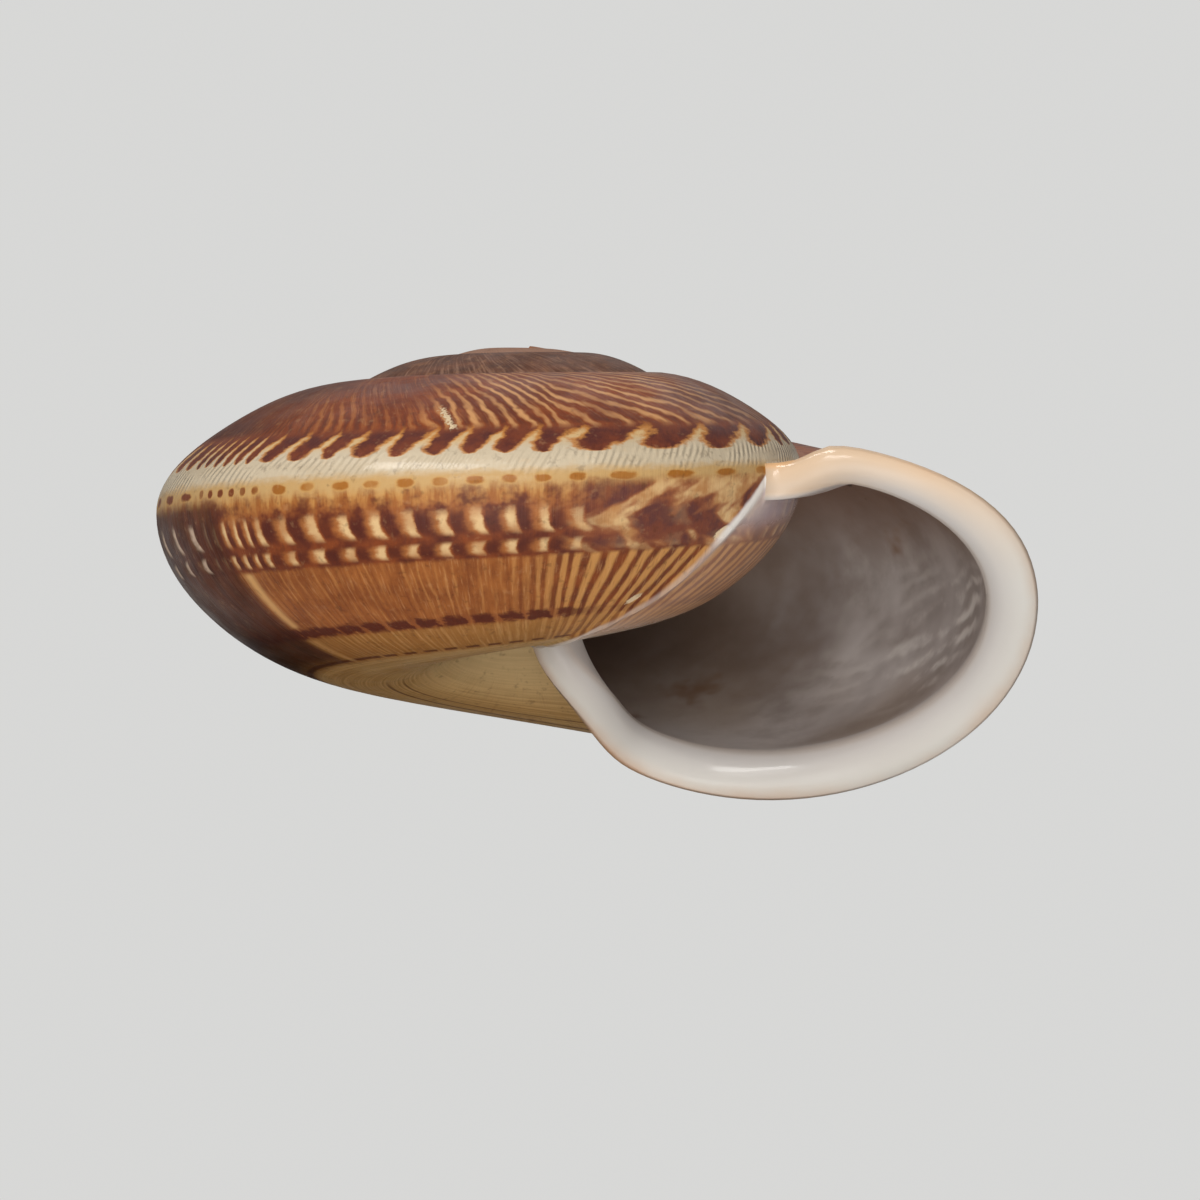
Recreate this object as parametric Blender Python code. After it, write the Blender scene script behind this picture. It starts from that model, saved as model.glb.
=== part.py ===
"""Land snail shell: a right-handed coil with a low spire, an oblique mouth with a turned-out lip,
and an open umbilicus underneath.

The shell is one closed body. Its outer face is an outline swept round the axis while it grows, and each
whorl starts and ends on rows of points of the whorl before it, so neighbouring whorls share their points.
The inner face is the same surface set in by the thickness of the wall, and the lip is a rounded strip
between the two. Lengths are in millimetres while the shape is computed. The shell's axis is upright and
the coil grows clockwise seen from above. A parent empty then tips it onto the places it rests on.
"""

import math

import bpy
import numpy as np
from mathutils import Matrix

# Whorls are counted from the nucleus, so 4.0 is four full turns
FIRST = 0.6                     # whorl at which the modelled coil begins
HOLLOW_FROM = 1.9               # whorl at which the hollow inside begins
COLUMNS = 36                    # columns of points in one turn
CROWDING = 0.55                 # how much closer the columns stand near the lip
ABOVE, SUTURE, SIDE, SEAM, BELOW = 4, 5, 8, 5, 3    # rows of faces, from the suture to the umbilicus

BODY_RADIUS = 13.5              # radius of the widest line at whorl 4
GROWTH, GROWTH_EASING = 0.596, 0.040    # growth of the radius per whorl, and how it slackens
APEX_HEIGHT = 0.05
APEX_BLUNTNESS = 0.07           # the apex is rounded over this share of the radius
DROP, DROP_POWER = 6.70, 1.15   # depth of the widest line at whorl 4; it grows with this power of the radius
SUTURE_SHARE = 0.855, 0.990     # where a whorl joins the one before it, as a share of that one's radius
SEAM_SHARE = 0.18               # the same for the seam in the umbilicus
WALL = 0.48
JOINT_WIDTH = 0.85              # width of the joint along the previous whorl

# A whorl's outline is an oval of four quarters round its lowest and widest places. It has one form while
# the shell grows and another at the mouth, and changes between the whorls MATURE.
MATURE = 4.05, 4.60
UPPER_SHARE = 0.35, 0.215       # height of the upper half over the radius
LOWER_DEPTH = 6.45, 6.75         # depth of the lower half
LOWER_SHARE = 0.57              # depth of the lower half over the radius in the small whorls
WIDEST = 0.995, 0.945           # radius shares of the widest place, the lowest place and the umbilical wall
LOWEST = 0.43, 0.50
INNERMOST = 0.11, 0.07
SWEEP = 260.0, 283.0            # degrees that the outline turns through, from the suture to the umbilicus
# How far the quarters leave an ellipse: the roof is flatter, and fuller at the mouth
FLATTER_ROOF = 0.07, -0.06
FLATTER_BASE = 0.04, 0.0
FLATTER_PIT = -0.08, 0.0
# The lip lies in a leaning plane: forward distance = LIP_PLANE . (1, x, height)
LIP_PLANE = 9.0, 0.08, 0.86
LIP_END = 4.60                  # whorl at which the lower end of the lip runs into the umbilicus
# Cross-section of the lip in shares of its width: it leaves the outer face behind the edge, already turned
# out, and rolls over to the inner face
LIP_WIDTH = 1.41                # how far the lip turns outwards
LIP_BEHIND, LIP_FLARE = 0.37, 0.41
LIP_AHEAD, LIP_ROLL, LIP_HOOK = 0.71, 0.50, 0.40

TILT_SIDEWAYS, TILT_FORWARDS = 14.3, 10.7    # degrees by which the axis leans when the shell rests
FLATTENED = 0.12                # depth worn flat where the base and the lip touch the ground
COLOUR = (0.36, 0.19, 0.09)


def ease(x, a, b):
    """0 before a, 1 after b, and smooth between."""
    t = np.clip((x - a) / (b - a), 0.0, 1.0)
    return t * t * t * (t * (6 * t - 15) + 10)


def between(pair, share):
    """The first value of a pair at share 0 and the second at share 1."""
    return pair[0] + (pair[1] - pair[0]) * share


def radius(n):
    """Radius of the widest line at whorl n: exponential growth that slackens a little."""
    m = n - 4
    return BODY_RADIUS * np.exp(GROWTH * m - GROWTH_EASING * m * m)


def section(n, s):
    """Radius and height of whorl n's outline at share s, before it is joined on. The outline turns evenly
    through SWEEP degrees, and each quarter of it is an ellipse drawn in or filled out a little between its
    ends: cosine and sine of the angle, times 1 - k sin(2 angle)^2."""
    mature = ease(n, *MATURE)
    angle = np.radians(90 - between(SWEEP, mature) * s)
    across, up = np.cos(angle), np.sin(angle)
    flatter = np.where(up > 0, between(FLATTER_ROOF, mature), between(FLATTER_BASE, mature))
    flatter = np.where(across > 0, flatter, between(FLATTER_PIT, mature))
    shape = 1 - flatter * np.sin(2 * angle) ** 2
    r = radius(n)
    widest, lowest = between(WIDEST, mature), between(LOWEST, mature)
    joint = between(SUTURE_SHARE, ease(n, 4.2, 4.6)) * radius(n - 1) / r
    middle = np.where((across > 0) & (up > 0), joint, lowest)
    reach = np.where(across > 0, widest - middle, lowest - between(INNERMOST, mature))
    large = between(LOWER_DEPTH, mature) * (np.minimum(r, BODY_RADIUS) / BODY_RADIUS) ** 0.15
    lower = ((LOWER_SHARE * r) ** -6.0 + large ** -6.0) ** (-1 / 6.0)
    height = np.where(up > 0, r * between(UPPER_SHARE, mature), lower)
    span = np.hypot(r / BODY_RADIUS, APEX_BLUNTNESS) - APEX_BLUNTNESS
    level = APEX_HEIGHT - DROP * span ** DROP_POWER
    return r * (middle + reach * across * shape), level + height * up * shape


def place_of_share(share, below):
    """Share of the outline at which its radius is the given share of the widest one."""
    s = np.linspace(0, 1, 4001)
    x = section(np.full_like(s, 3.0), s)[0] / radius(3.0)
    widest = int(np.argmax(x))
    part = slice(widest, None) if below else slice(0, widest)
    return float(s[part][np.argmin(np.abs(x[part] - share))])


SUTURE_PLACES = place_of_share(SUTURE_SHARE[0], False), place_of_share(SUTURE_SHARE[1], False)
SEAM_PLACE = place_of_share(SEAM_SHARE, True)


def suture_place(n):
    """Share of the previous whorl's outline at which whorl n joins it. The suture sinks near the lip."""
    return between(SUTURE_PLACES, ease(n, 4.2, 4.6))


def surface(n, s, start):
    """Points of the outer face at whorl n and share s, with both ends drawn onto the previous whorl."""
    r, z = section(n, s)
    joined = n >= start + 1
    ends = ((suture_place(n), 0.0, 1 - ease(s, 0.0, 0.32)),
            (SEAM_PLACE, 1.0, ease(s, SEAM_PLACE + 0.25 * (1 - SEAM_PLACE), 1.0)))
    for place, end, weight in ends:
        old_r, old_z = section(n - 1, place + 0 * n)
        own_r, own_z = section(n, end + 0 * n)
        r = r + weight * (old_r * joined - own_r)
        z = z + weight * (old_z - own_z) * joined
    angle = 2 * math.pi * (n - 4.5)
    return np.stack([r * np.cos(angle), -r * np.sin(angle), z], -1)


def unit(v):
    return v / np.maximum(np.linalg.norm(v, axis=-1, keepdims=True), 1e-12)


def outward(n, s, start):
    """Unit normals of the outer face."""
    h = 0.002
    along = surface(n + h, s, start) - surface(n - h, s, start)
    across = surface(n, np.minimum(s + h, 1), start) - surface(n, np.maximum(s - h, 0), start)
    return unit(np.cross(along, across))


def lip_whorl(s):
    """Whorl at which the lip stands: where each share of the outline meets the lip's plane, and at LIP_END
    towards the umbilicus."""
    n = np.linspace(4.30, 4.95, 261)[:, None]
    x, y, z = np.moveaxis(surface(n, s[None], FIRST), -1, 0)
    over = -y - (LIP_PLANE[0] + LIP_PLANE[1] * x + LIP_PLANE[2] * z)
    i = np.argmax(over > 0, axis=0)
    j = np.arange(len(s))
    share = -over[i - 1, j] / (over[i, j] - over[i - 1, j])
    on_plane = np.minimum(n[i - 1, 0] + share * (n[1, 0] - n[0, 0]), np.where(s > 0.7, LIP_END, 9.0))
    return on_plane + (LIP_END - on_plane) * ease(s, 0.72, 1.0)


LIP_PLACES = np.linspace(0, 1, 201)
LIP_WHORLS = lip_whorl(LIP_PLACES)
LIP_AT = LIP_WHORLS[0]


def lip_line(s):
    """How many whorls the lip lies ahead of its upper end."""
    return np.interp(s, LIP_PLACES, LIP_WHORLS - LIP_AT)


def lip_share(s):
    """Width of the lip as a share of the full one: narrower at its upper end and towards the umbilicus."""
    narrowed = 0.66 + 0.34 * ease(s, 0.06, 0.26) - 0.35 * ease(s, 0.74, 0.90)
    return narrowed * ease(s, 0, 0.06) * ease(1 - s, 0, 0.08)


def strip(index):
    """Quads of a grid of point numbers, in rows of the first axis."""
    return np.stack([index[:-1, :-1], index[1:, :-1], index[1:, 1:], index[:-1, 1:]], -1)


def build_shell():
    """Points and faces of the shell. Columns follow the growth and rows follow the outline."""
    last = round((LIP_AT - FIRST) * COLUMNS)
    turns = LIP_AT + (np.arange(last + 1) - last) / COLUMNS
    turns = turns - CROWDING * np.sin(2 * math.pi * (turns - LIP_AT)) / (2 * math.pi)
    start = turns[0]
    a0 = ABOVE
    a1 = a0 + SUTURE
    b1 = a1 + SIDE
    b0 = b1 + SEAM
    rows = b0 + BELOW
    j = np.arange(rows + 1)

    # Rows: the next whorl sits on rows a0 to a1 above and b1 to b0 below
    following = turns + 1
    length = 2.2 * radius(turns)
    near_lip = ease(following, 4.45, LIP_AT) * (1 - ease(following, LIP_AT + 0.02, 4.82))
    width_above = (JOINT_WIDTH + 0.55 * near_lip) / length
    width_below = (JOINT_WIDTH + 0.60 * near_lip) / length
    top = suture_place(following)
    bottom = np.full_like(top, SEAM_PLACE)
    marks = np.stack([0 * top, top, top + width_above, bottom - width_below, bottom, 0 * top + 1], 1)
    mark_rows = np.array([0, a0, a1, b1, b0, rows])
    # Beyond the lip's upper end no whorl follows, and the rows spread out evenly
    marks = marks + (mark_rows / rows - marks) * ease(following, LIP_AT + 0.02, LIP_AT + 0.40)[:, None]
    part = np.clip(np.searchsorted(mark_rows, j, side="right") - 1, 0, 4)
    share = (j - mark_rows[part]) / np.diff(mark_rows)[part]
    s = marks[:, part] + (marks[:, part + 1] - marks[:, part]) * share

    # Columns lean until the last one lies along the lip, and the whorl before makes room for its lower end
    lean = ease(turns, 4.1, LIP_AT)[:, None]
    reach = lip_line(1.0)
    room = (ease(following, 4.1, LIP_AT) * (1 - ease(following, LIP_AT + 0.02, 5.1)))[:, None] * reach
    share = 0.8 * ease(np.clip((j - a1) / SIDE, 0, 1), 0, 1) + 0.2 * np.clip((j - b1) / SEAM, 0, 1)
    share = share * np.clip((rows - j) / BELOW, 0, 1)
    taper = lip_share(s)
    around = 2 * math.pi * np.maximum(3.0, 0.8 * radius(turns))[:, None]
    behind = LIP_BEHIND * LIP_WIDTH / around
    n = turns[:, None] + lean * (lip_line(s) - behind * taper) + room * share
    n[:, rows] = turns + lean[:, 0] * reach

    # Outer face, which flares just behind the lip
    outer = surface(n, s, start)
    normal = outward(n, s, start)
    ahead = (n - LIP_AT - lip_line(s)) * around
    flare = np.exp(np.minimum(ahead + LIP_BEHIND * LIP_WIDTH, 0) / 0.5) * ease(ahead, -4.0, -1.5)
    flare = LIP_FLARE * LIP_WIDTH * flare * taper * (turns > 4)[:, None]
    plain = outer
    outer = outer + normal * flare[..., None]

    # Numbers of the outer points: the two end rows belong to the whorl before
    number = np.zeros((last + 1, rows + 1), int)
    number[:, 1:rows] = np.arange((last + 1) * (rows - 1)).reshape(last + 1, rows - 1)
    count = (last + 1) * (rows - 1)
    apex, pit = count, count + 1
    count += 2
    number[:COLUMNS, 0], number[:COLUMNS, rows] = apex, pit
    number[COLUMNS:, 0], number[COLUMNS:, rows] = number[:-COLUMNS, a0], number[:-COLUMNS, b0]
    poles = np.zeros((2, 3))
    poles[:, 2] = outer[:COLUMNS, 0, 2].mean(), outer[:COLUMNS, rows, 2].mean()
    points = [outer[:, 1:rows].reshape(-1, 3), poles]

    # Inner face, from the start of the hollow to the lip
    inside = np.arange(round((HOLLOW_FROM - start) * COLUMNS), last + 1)
    before = inside - COLUMNS
    si = s[inside]
    thickness = WALL * np.clip(radius(n[inside]) / 13, 0.4, 1) ** 0.7
    thickness = thickness * ease(si, 0, 0.075) * ease(1 - si, 0, 0.10)
    inner = plain[inside] - normal[inside] * thickness[..., None]
    inner = inner + (1 - ease(si, 0, 0.085))[..., None] * (outer[before, a1] - plain[inside, 0])[:, None]
    inner = inner + ease(si, 0.90, 1)[..., None] * (outer[before, b1] - plain[inside, rows])[:, None]
    number_in = np.zeros((len(inside), rows + 1), int)
    number_in[:, 1:rows] = count + np.arange(len(inside) * (rows - 1)).reshape(len(inside), -1)
    count += len(inside) * (rows - 1)
    number_in[:, 0], number_in[:, rows] = number[before, a1], number[before, b1]
    points.append(inner[:, 1:rows].reshape(-1, 3))

    # Lip, a rounded strip between the last outer and inner columns
    q = np.linspace(0, 1, SUTURE + 1)
    ahead = LIP_WIDTH * LIP_AHEAD * np.sin(math.pi * q)
    out = LIP_WIDTH * (LIP_ROLL * np.sin(math.pi * q) + LIP_HOOK * np.sin(2 * math.pi * q))
    forward = unit(np.cross(unit(np.gradient(outer[last], axis=0)), normal[last]))
    straight = outer[last][:, None] * (1 - q[:, None]) + inner[-1][:, None] * q[:, None]
    full = taper[last][:, None]
    lip = straight + forward[:, None] * (ahead * (0.25 + 0.75 * full))[..., None]
    lip = lip + normal[last][:, None] * (out * full)[..., None]
    held = (1 - ease(s[last], 0, 0.06))[:, None, None], ease(s[last], 0.94, 1)[:, None, None]
    ends = outer[last - COLUMNS, a0:a1 + 1], outer[last - COLUMNS, b1:b0 + 1][::-1]
    lip = lip + held[0] * (ends[0] - lip[0]) + held[1] * (ends[1] - lip[-1])
    number_lip = np.zeros((rows + 1, SUTURE + 1), int)
    number_lip[1:rows, 1:SUTURE] = count + np.arange((rows - 1) * (SUTURE - 1)).reshape(rows - 1, -1)
    count += (rows - 1) * (SUTURE - 1)
    number_lip[:, 0], number_lip[:, SUTURE] = number[last], number_in[-1]
    number_lip[0] = number[last - COLUMNS, a0:a1 + 1]
    number_lip[rows] = number[last - COLUMNS, b1:b0 + 1][::-1]
    points.append(lip[1:rows, 1:SUTURE].reshape(-1, 3))

    # The far end of the hollow is closed round one point
    ring = np.r_[number_in[0], number[before[0], a1 + 1:b1][::-1]]
    points = np.vstack(points)
    points = np.vstack([points, points[ring].mean(0)])

    # Faces. Under the next whorl only the side of the outer face is seen, from the hollow
    i, k = np.arange(last)[:, None], np.arange(rows)[None]
    free = (i >= last - COLUMNS) | (k < a0) | (k >= b0) | ((k >= a1) & (k < b1) & (i >= before[0]))
    quads = np.vstack([strip(number)[free], strip(number_in)[..., ::-1].reshape(-1, 4),
                       strip(number_lip)[..., ::-1].reshape(-1, 4)])
    faces = [list(dict.fromkeys(quad)) for quad in quads.tolist()]
    faces += [[count, b, a] for a, b in zip(ring.tolist(), np.roll(ring, -1).tolist())]
    first = number[0].tolist()
    faces += [[apex, first[m], first[m + 1]] for m in range(1, a0)]
    faces += [[pit, first[m], first[m + 1]] for m in range(b0, rows - 1)]
    return points, faces


def main():
    for thing in list(bpy.data.objects):
        bpy.data.objects.remove(thing)
    collection = bpy.data.collections.new("land_snail_shell")
    bpy.context.scene.collection.children.link(collection)

    points, faces = build_shell()
    tilt = Matrix.Rotation(math.radians(TILT_FORWARDS), 4, "X")
    tilt = tilt @ Matrix.Rotation(-math.radians(TILT_SIDEWAYS), 4, "Y")
    turning = np.array(tilt.to_3x3())
    turned = points @ turning.T
    turned[:, 2] = np.maximum(turned[:, 2], turned[:, 2].min() + FLATTENED)
    points = turned @ turning
    low, high = turned.min(0), turned.max(0)
    foot = np.array([(low[0] + high[0]) / 2, (low[1] + high[1]) / 2, low[2]])

    stand = bpy.data.objects.new("rest_pose", None)
    stand.matrix_world = Matrix.Translation(-foot * 0.001) @ tilt
    collection.objects.link(stand)

    mesh = bpy.data.meshes.new("shell")
    mesh.from_pydata((points * 0.001).tolist(), [], faces)
    mesh.validate()
    mesh.shade_smooth()
    material = bpy.data.materials.new("shell")
    material.use_nodes = True
    look = material.node_tree.nodes["Principled BSDF"]
    look.inputs["Base Color"].default_value = (*COLOUR, 1.0)
    look.inputs["Roughness"].default_value = 0.35
    look.inputs["Metallic"].default_value = 0.0
    mesh.materials.append(material)
    shell = bpy.data.objects.new("shell", mesh)
    shell.parent = stand
    collection.objects.link(shell)


main()
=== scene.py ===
"""Looks of the land snail shell: the grown surface at full detail, its brown stripes and flames round the
cream band, the glossy white lip and the grey inside, with a pale floor, studio lights and a camera."""

import math

import bpy
import numpy as np
from mathutils import Matrix, Vector


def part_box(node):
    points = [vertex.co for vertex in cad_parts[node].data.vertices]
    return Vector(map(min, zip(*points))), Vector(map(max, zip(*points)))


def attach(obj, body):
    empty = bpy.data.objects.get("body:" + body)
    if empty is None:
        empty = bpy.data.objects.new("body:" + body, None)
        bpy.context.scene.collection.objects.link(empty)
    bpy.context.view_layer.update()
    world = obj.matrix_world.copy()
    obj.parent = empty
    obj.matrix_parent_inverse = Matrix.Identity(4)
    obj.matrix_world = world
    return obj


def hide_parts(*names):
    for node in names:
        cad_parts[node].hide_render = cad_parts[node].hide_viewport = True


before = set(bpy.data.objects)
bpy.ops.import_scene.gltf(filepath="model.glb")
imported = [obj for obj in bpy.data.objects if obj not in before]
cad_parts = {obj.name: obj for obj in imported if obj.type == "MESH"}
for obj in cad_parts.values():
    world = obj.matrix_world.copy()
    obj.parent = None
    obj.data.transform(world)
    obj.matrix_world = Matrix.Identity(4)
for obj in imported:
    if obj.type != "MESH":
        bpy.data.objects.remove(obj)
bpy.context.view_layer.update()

# ---------------------------------------------------------------------------------------------------------
# Shape. The lengths are those of the solid part, in millimetres until the mesh is made. Whorls are counted
# from the nucleus, so 4.0 is four full turns, and shares run along the outline from the suture, 0, over the
# widest line to the umbilicus, 1.
# ---------------------------------------------------------------------------------------------------------
FIRST = -0.36                   # whorl at which the grown surface begins
HOLLOW_FROM = 1.9               # whorl at which the hollow inside begins
NUCLEUS = FIRST, 1.5            # whorls over which the roof rises to its full height
NUCLEUS_HEIGHT = 0.15, 1.0      # the share of it there at their start and end

BODY_RADIUS = 13.5              # radius of the widest line at whorl 4
GROWTH, GROWTH_EASING = 0.596, 0.040    # growth of the radius per whorl, and how it slackens
APEX_HEIGHT = 0.05
APEX_BLUNTNESS = 0.07           # the apex is rounded over this share of the radius
DROP, DROP_POWER = 6.70, 1.15   # depth of the widest line at whorl 4; it grows with this power of the radius
SUTURE_SHARE = 0.855, 0.990     # where a whorl joins the one before it, as a share of that one's radius
SUTURE_SINKS = 4.2, 4.6         # whorls between which it goes from the first to the second
SEAM_SHARE = 0.18               # the same for the seam in the umbilicus
WALL = 0.48
JOINT_WIDTH = 0.85              # width of the joint along the previous whorl

# A whorl's outline is an oval of four quarters round its lowest and widest places. It has one form while
# the shell grows and another at the mouth, and changes between the whorls MATURE.
MATURE = 4.05, 4.60
UPPER_SHARE = 0.35, 0.215       # height of the upper half over the radius
LOWER_DEPTH = 6.45, 6.75        # depth of the lower half
LOWER_SHARE = 0.57              # depth of the lower half over the radius in the small whorls
WIDEST = 0.995, 0.945           # radius shares of the widest place, the lowest place and the umbilical wall
LOWEST = 0.43, 0.50
INNERMOST = 0.11, 0.07
SWEEP = 260.0, 283.0            # degrees that the outline turns through, from the suture to the umbilicus
# How far the quarters leave an ellipse: the roof is flatter, and fuller at the mouth
FLATTER_ROOF = 0.07, -0.06
FLATTER_BASE = 0.04, 0.0
FLATTER_PIT = -0.08, 0.0
# The lip lies in a leaning plane: forward distance = LIP_PLANE . (1, x, height)
LIP_PLANE = 9.0, 0.08, 0.86
LIP_END = 4.60                  # whorl at which the lower end of the lip runs into the umbilicus
LIP_LEANS_FROM = 4.1            # whorl from which the growth lines lean over towards the lip
# Cross-section of the lip in shares of its width: it leaves the outer face behind the edge, already turned
# out, and rolls over to the inner face
LIP_WIDTH = 1.41                # how far the lip turns outwards
LIP_BEHIND, LIP_FLARE = 0.37, 0.41
LIP_AHEAD, LIP_ROLL, LIP_HOOK = 0.71, 0.50, 0.40

# The glaze on the whorl before the mouth ends on a slanting line: GLAZE_EDGE is the whorl at its upper end,
# and GLAZE_SLANT and GLAZE_WAVE are how many whorls it moves on over the whole outline and in its slow wave
GLAZE_SHARES = 0.33, 0.83
GLAZE_EDGE, GLAZE_SLANT, GLAZE_WAVE = 3.592, 0.35, 0.006
GLAZE_THICKNESS, GLAZE_RIM = 0.07, 0.11
TILT_SIDEWAYS, TILT_FORWARDS = 14.3, 10.7    # degrees by which the axis leans when the shell rests
FLATTENED, FLATTENED_REACH = 0.12, 0.6       # depth that the ground wears away, and how far up it fades

# Columns of points in one turn, and how much closer they stand at the angle of the lip
COLUMNS = 160
CROWDING = 0.55
# Rows of faces along an outline, and the rows of points between them: the next whorl sits on the rows from
# JOINT_ROW to SIDE_ROW above and from SEAM_ROW to PIT_ROW below
ABOVE, SUTURE, SIDE, SEAM, BELOW = 16, 8, 36, 8, 12
JOINT_ROW = ABOVE
SIDE_ROW = JOINT_ROW + SUTURE
SEAM_ROW = SIDE_ROW + SIDE
PIT_ROW = SEAM_ROW + SEAM
ROWS = PIT_ROW + BELOW

# The painted sheet holds each stretch of the surface between two of these levels, with a gap round it
SHEET_LEVELS = 0.0, 0.29, 0.58, 0.63, 0.68, 0.71, 0.80, 0.92, 0.96, 1.0
SHEET_GAP = 0.004
NO_GLAZE = -9.0                 # millimetres past the edge of the glaze, where there is none
FAR_OUT, FAR_IN = -12.0, 60.0   # millimetres past the lip's outer edge, far outside and deep inside


def ease(x, a, b):
    """0 before a, 1 after b, and 6 t^5 - 15 t^4 + 10 t^3 between."""
    t = np.clip((x - a) / (b - a), 0.0, 1.0)
    return t * t * t * (t * (6 * t - 15) + 10)


def between(pair, share):
    """The first value of a pair at share 0 and the second at share 1."""
    return pair[0] + (pair[1] - pair[0]) * share


def radius(n):
    """Radius of the widest line at whorl n: BODY_RADIUS exp(a m - b m^2), with m whorls past the fourth."""
    m = n - 4
    return BODY_RADIUS * np.exp(GROWTH * m - GROWTH_EASING * m * m)


def section(n, s):
    """Radius and height of whorl n's outline at share s, before it is joined on. The outline turns evenly
    through SWEEP degrees, and each quarter of it is an ellipse drawn in or filled out a little between its
    ends: cosine and sine of the angle, times 1 - k sin(2 angle)^2. The depth of the lower half follows the
    radius in the small whorls and levels off in the large ones."""
    mature = ease(n, *MATURE)
    angle = np.radians(90 - between(SWEEP, mature) * s)
    across, up = np.cos(angle), np.sin(angle)
    flatter = np.where(up > 0, between(FLATTER_ROOF, mature), between(FLATTER_BASE, mature))
    flatter = np.where(across > 0, flatter, between(FLATTER_PIT, mature))
    shape = 1 - flatter * np.sin(2 * angle) ** 2
    r = radius(n)
    widest, lowest = between(WIDEST, mature), between(LOWEST, mature)
    joint = between(SUTURE_SHARE, ease(n, *SUTURE_SINKS)) * radius(n - 1) / r
    middle = np.where((across > 0) & (up > 0), joint, lowest)
    reach = np.where(across > 0, widest - middle, lowest - between(INNERMOST, mature))
    large = between(LOWER_DEPTH, mature) * (np.minimum(r, BODY_RADIUS) / BODY_RADIUS) ** 0.15
    lower = ((LOWER_SHARE * r) ** -6.0 + large ** -6.0) ** (-1 / 6.0)
    upper = r * between(UPPER_SHARE, mature) * between(NUCLEUS_HEIGHT, ease(n, *NUCLEUS))
    height = np.where(up > 0, upper, lower)
    span = np.hypot(r / BODY_RADIUS, APEX_BLUNTNESS) - APEX_BLUNTNESS
    level = APEX_HEIGHT - DROP * span ** DROP_POWER
    return r * (middle + reach * across * shape), level + height * up * shape


def place_of_share(share, below):
    """Share of the outline, above or below its widest place, at which its radius is the given share of the
    widest one."""
    s = np.linspace(0, 1, 4001)
    x = section(np.full_like(s, 3.0), s)[0] / radius(3.0)
    widest = int(np.argmax(x))
    part = slice(widest, None) if below else slice(0, widest)
    return float(s[part][np.argmin(np.abs(x[part] - share))])


SUTURE_PLACES = place_of_share(SUTURE_SHARE[0], False), place_of_share(SUTURE_SHARE[1], False)
SEAM_PLACE = place_of_share(SEAM_SHARE, True)


def suture_place(n):
    """Share of the previous whorl's outline at which whorl n joins it. The suture sinks near the lip."""
    return between(SUTURE_PLACES, ease(n, *SUTURE_SINKS))


def surface(n, s, start):
    """Points of the outer face: the outline at whorl n turned to its angle, 2 pi (n - 4.5), with both of its
    ends moved onto the previous whorl by a smooth share of the distance between them. The first turn after
    start has no whorl before it."""
    r, z = section(n, s)
    joined = n >= start + 1
    ends = ((suture_place(n), 0.0, 1 - ease(s, 0.0, 0.32)),
            (SEAM_PLACE, 1.0, ease(s, SEAM_PLACE + 0.25 * (1 - SEAM_PLACE), 1.0)))
    for place, end, weight in ends:
        old_r, old_z = section(n - 1, place + 0 * n)
        own_r, own_z = section(n, end + 0 * n)
        r = r + weight * (old_r * joined - own_r)
        z = z + weight * (old_z - own_z) * joined
    angle = 2 * math.pi * (n - 4.5)
    return np.stack([r * np.cos(angle), -r * np.sin(angle), z], -1)


def unit(v):
    """Rows of v divided by their lengths."""
    return v / np.maximum(np.linalg.norm(v, axis=-1, keepdims=True), 1e-12)


def outward(n, s, start):
    """Unit normals of the outer face: the cross product of its two slopes."""
    h = 0.002
    along = surface(n + h, s, start) - surface(n - h, s, start)
    across = surface(n, np.minimum(s + h, 1), start) - surface(n, np.maximum(s - h, 0), start)
    return unit(np.cross(along, across))


def lip_whorl(s):
    """Whorl at which the lip stands: where each share of the outline first passes the lip's leaning plane,
    and LIP_END towards the umbilicus."""
    n = np.linspace(4.30, 4.95, 261)[:, None]
    x, y, z = np.moveaxis(surface(n, s[None], FIRST), -1, 0)
    over = -y - (LIP_PLANE[0] + LIP_PLANE[1] * x + LIP_PLANE[2] * z)
    i = np.argmax(over > 0, axis=0)
    j = np.arange(len(s))
    share = -over[i - 1, j] / (over[i, j] - over[i - 1, j])
    on_plane = np.minimum(n[i - 1, 0] + share * (n[1, 0] - n[0, 0]), np.where(s > 0.7, LIP_END, 9.0))
    return on_plane + (LIP_END - on_plane) * ease(s, 0.72, 1.0)


LIP_PLACES = np.linspace(0, 1, 201)
LIP_WHORLS = lip_whorl(LIP_PLACES)
LIP_AT = LIP_WHORLS[0]


def lip_line(s):
    """How many whorls the lip lies ahead of its upper end."""
    return np.interp(s, LIP_PLACES, LIP_WHORLS - LIP_AT)


def lip_share(s):
    """Width of the lip as a share of the full one: narrower at its upper end and towards the umbilicus."""
    narrowed = 0.66 + 0.34 * ease(s, 0.06, 0.26) - 0.35 * ease(s, 0.74, 0.90)
    return narrowed * ease(s, 0, 0.06) * ease(1 - s, 0, 0.08)


def lip_profile(q):
    """How far the lip stands ahead of its root and out from it, at share q of the way from the outer face to
    the inner: half a sine wave ahead, and the same plus a whole one outwards."""
    ahead = LIP_WIDTH * LIP_AHEAD * np.sin(math.pi * q)
    out = LIP_WIDTH * (LIP_ROLL * np.sin(math.pi * q) + LIP_HOOK * np.sin(2 * math.pi * q))
    return ahead, out


def columns_of_points():
    """Whorls at which the columns of points begin, up to the lip: evenly spaced, less CROWDING sin(a) / 2 pi,
    with a their angle from the lip."""
    last = round((LIP_AT - FIRST) * COLUMNS)
    turns = LIP_AT + (np.arange(last + 1) - last) / COLUMNS
    return turns - CROWDING * np.sin(2 * math.pi * (turns - LIP_AT)) / (2 * math.pi)


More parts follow.
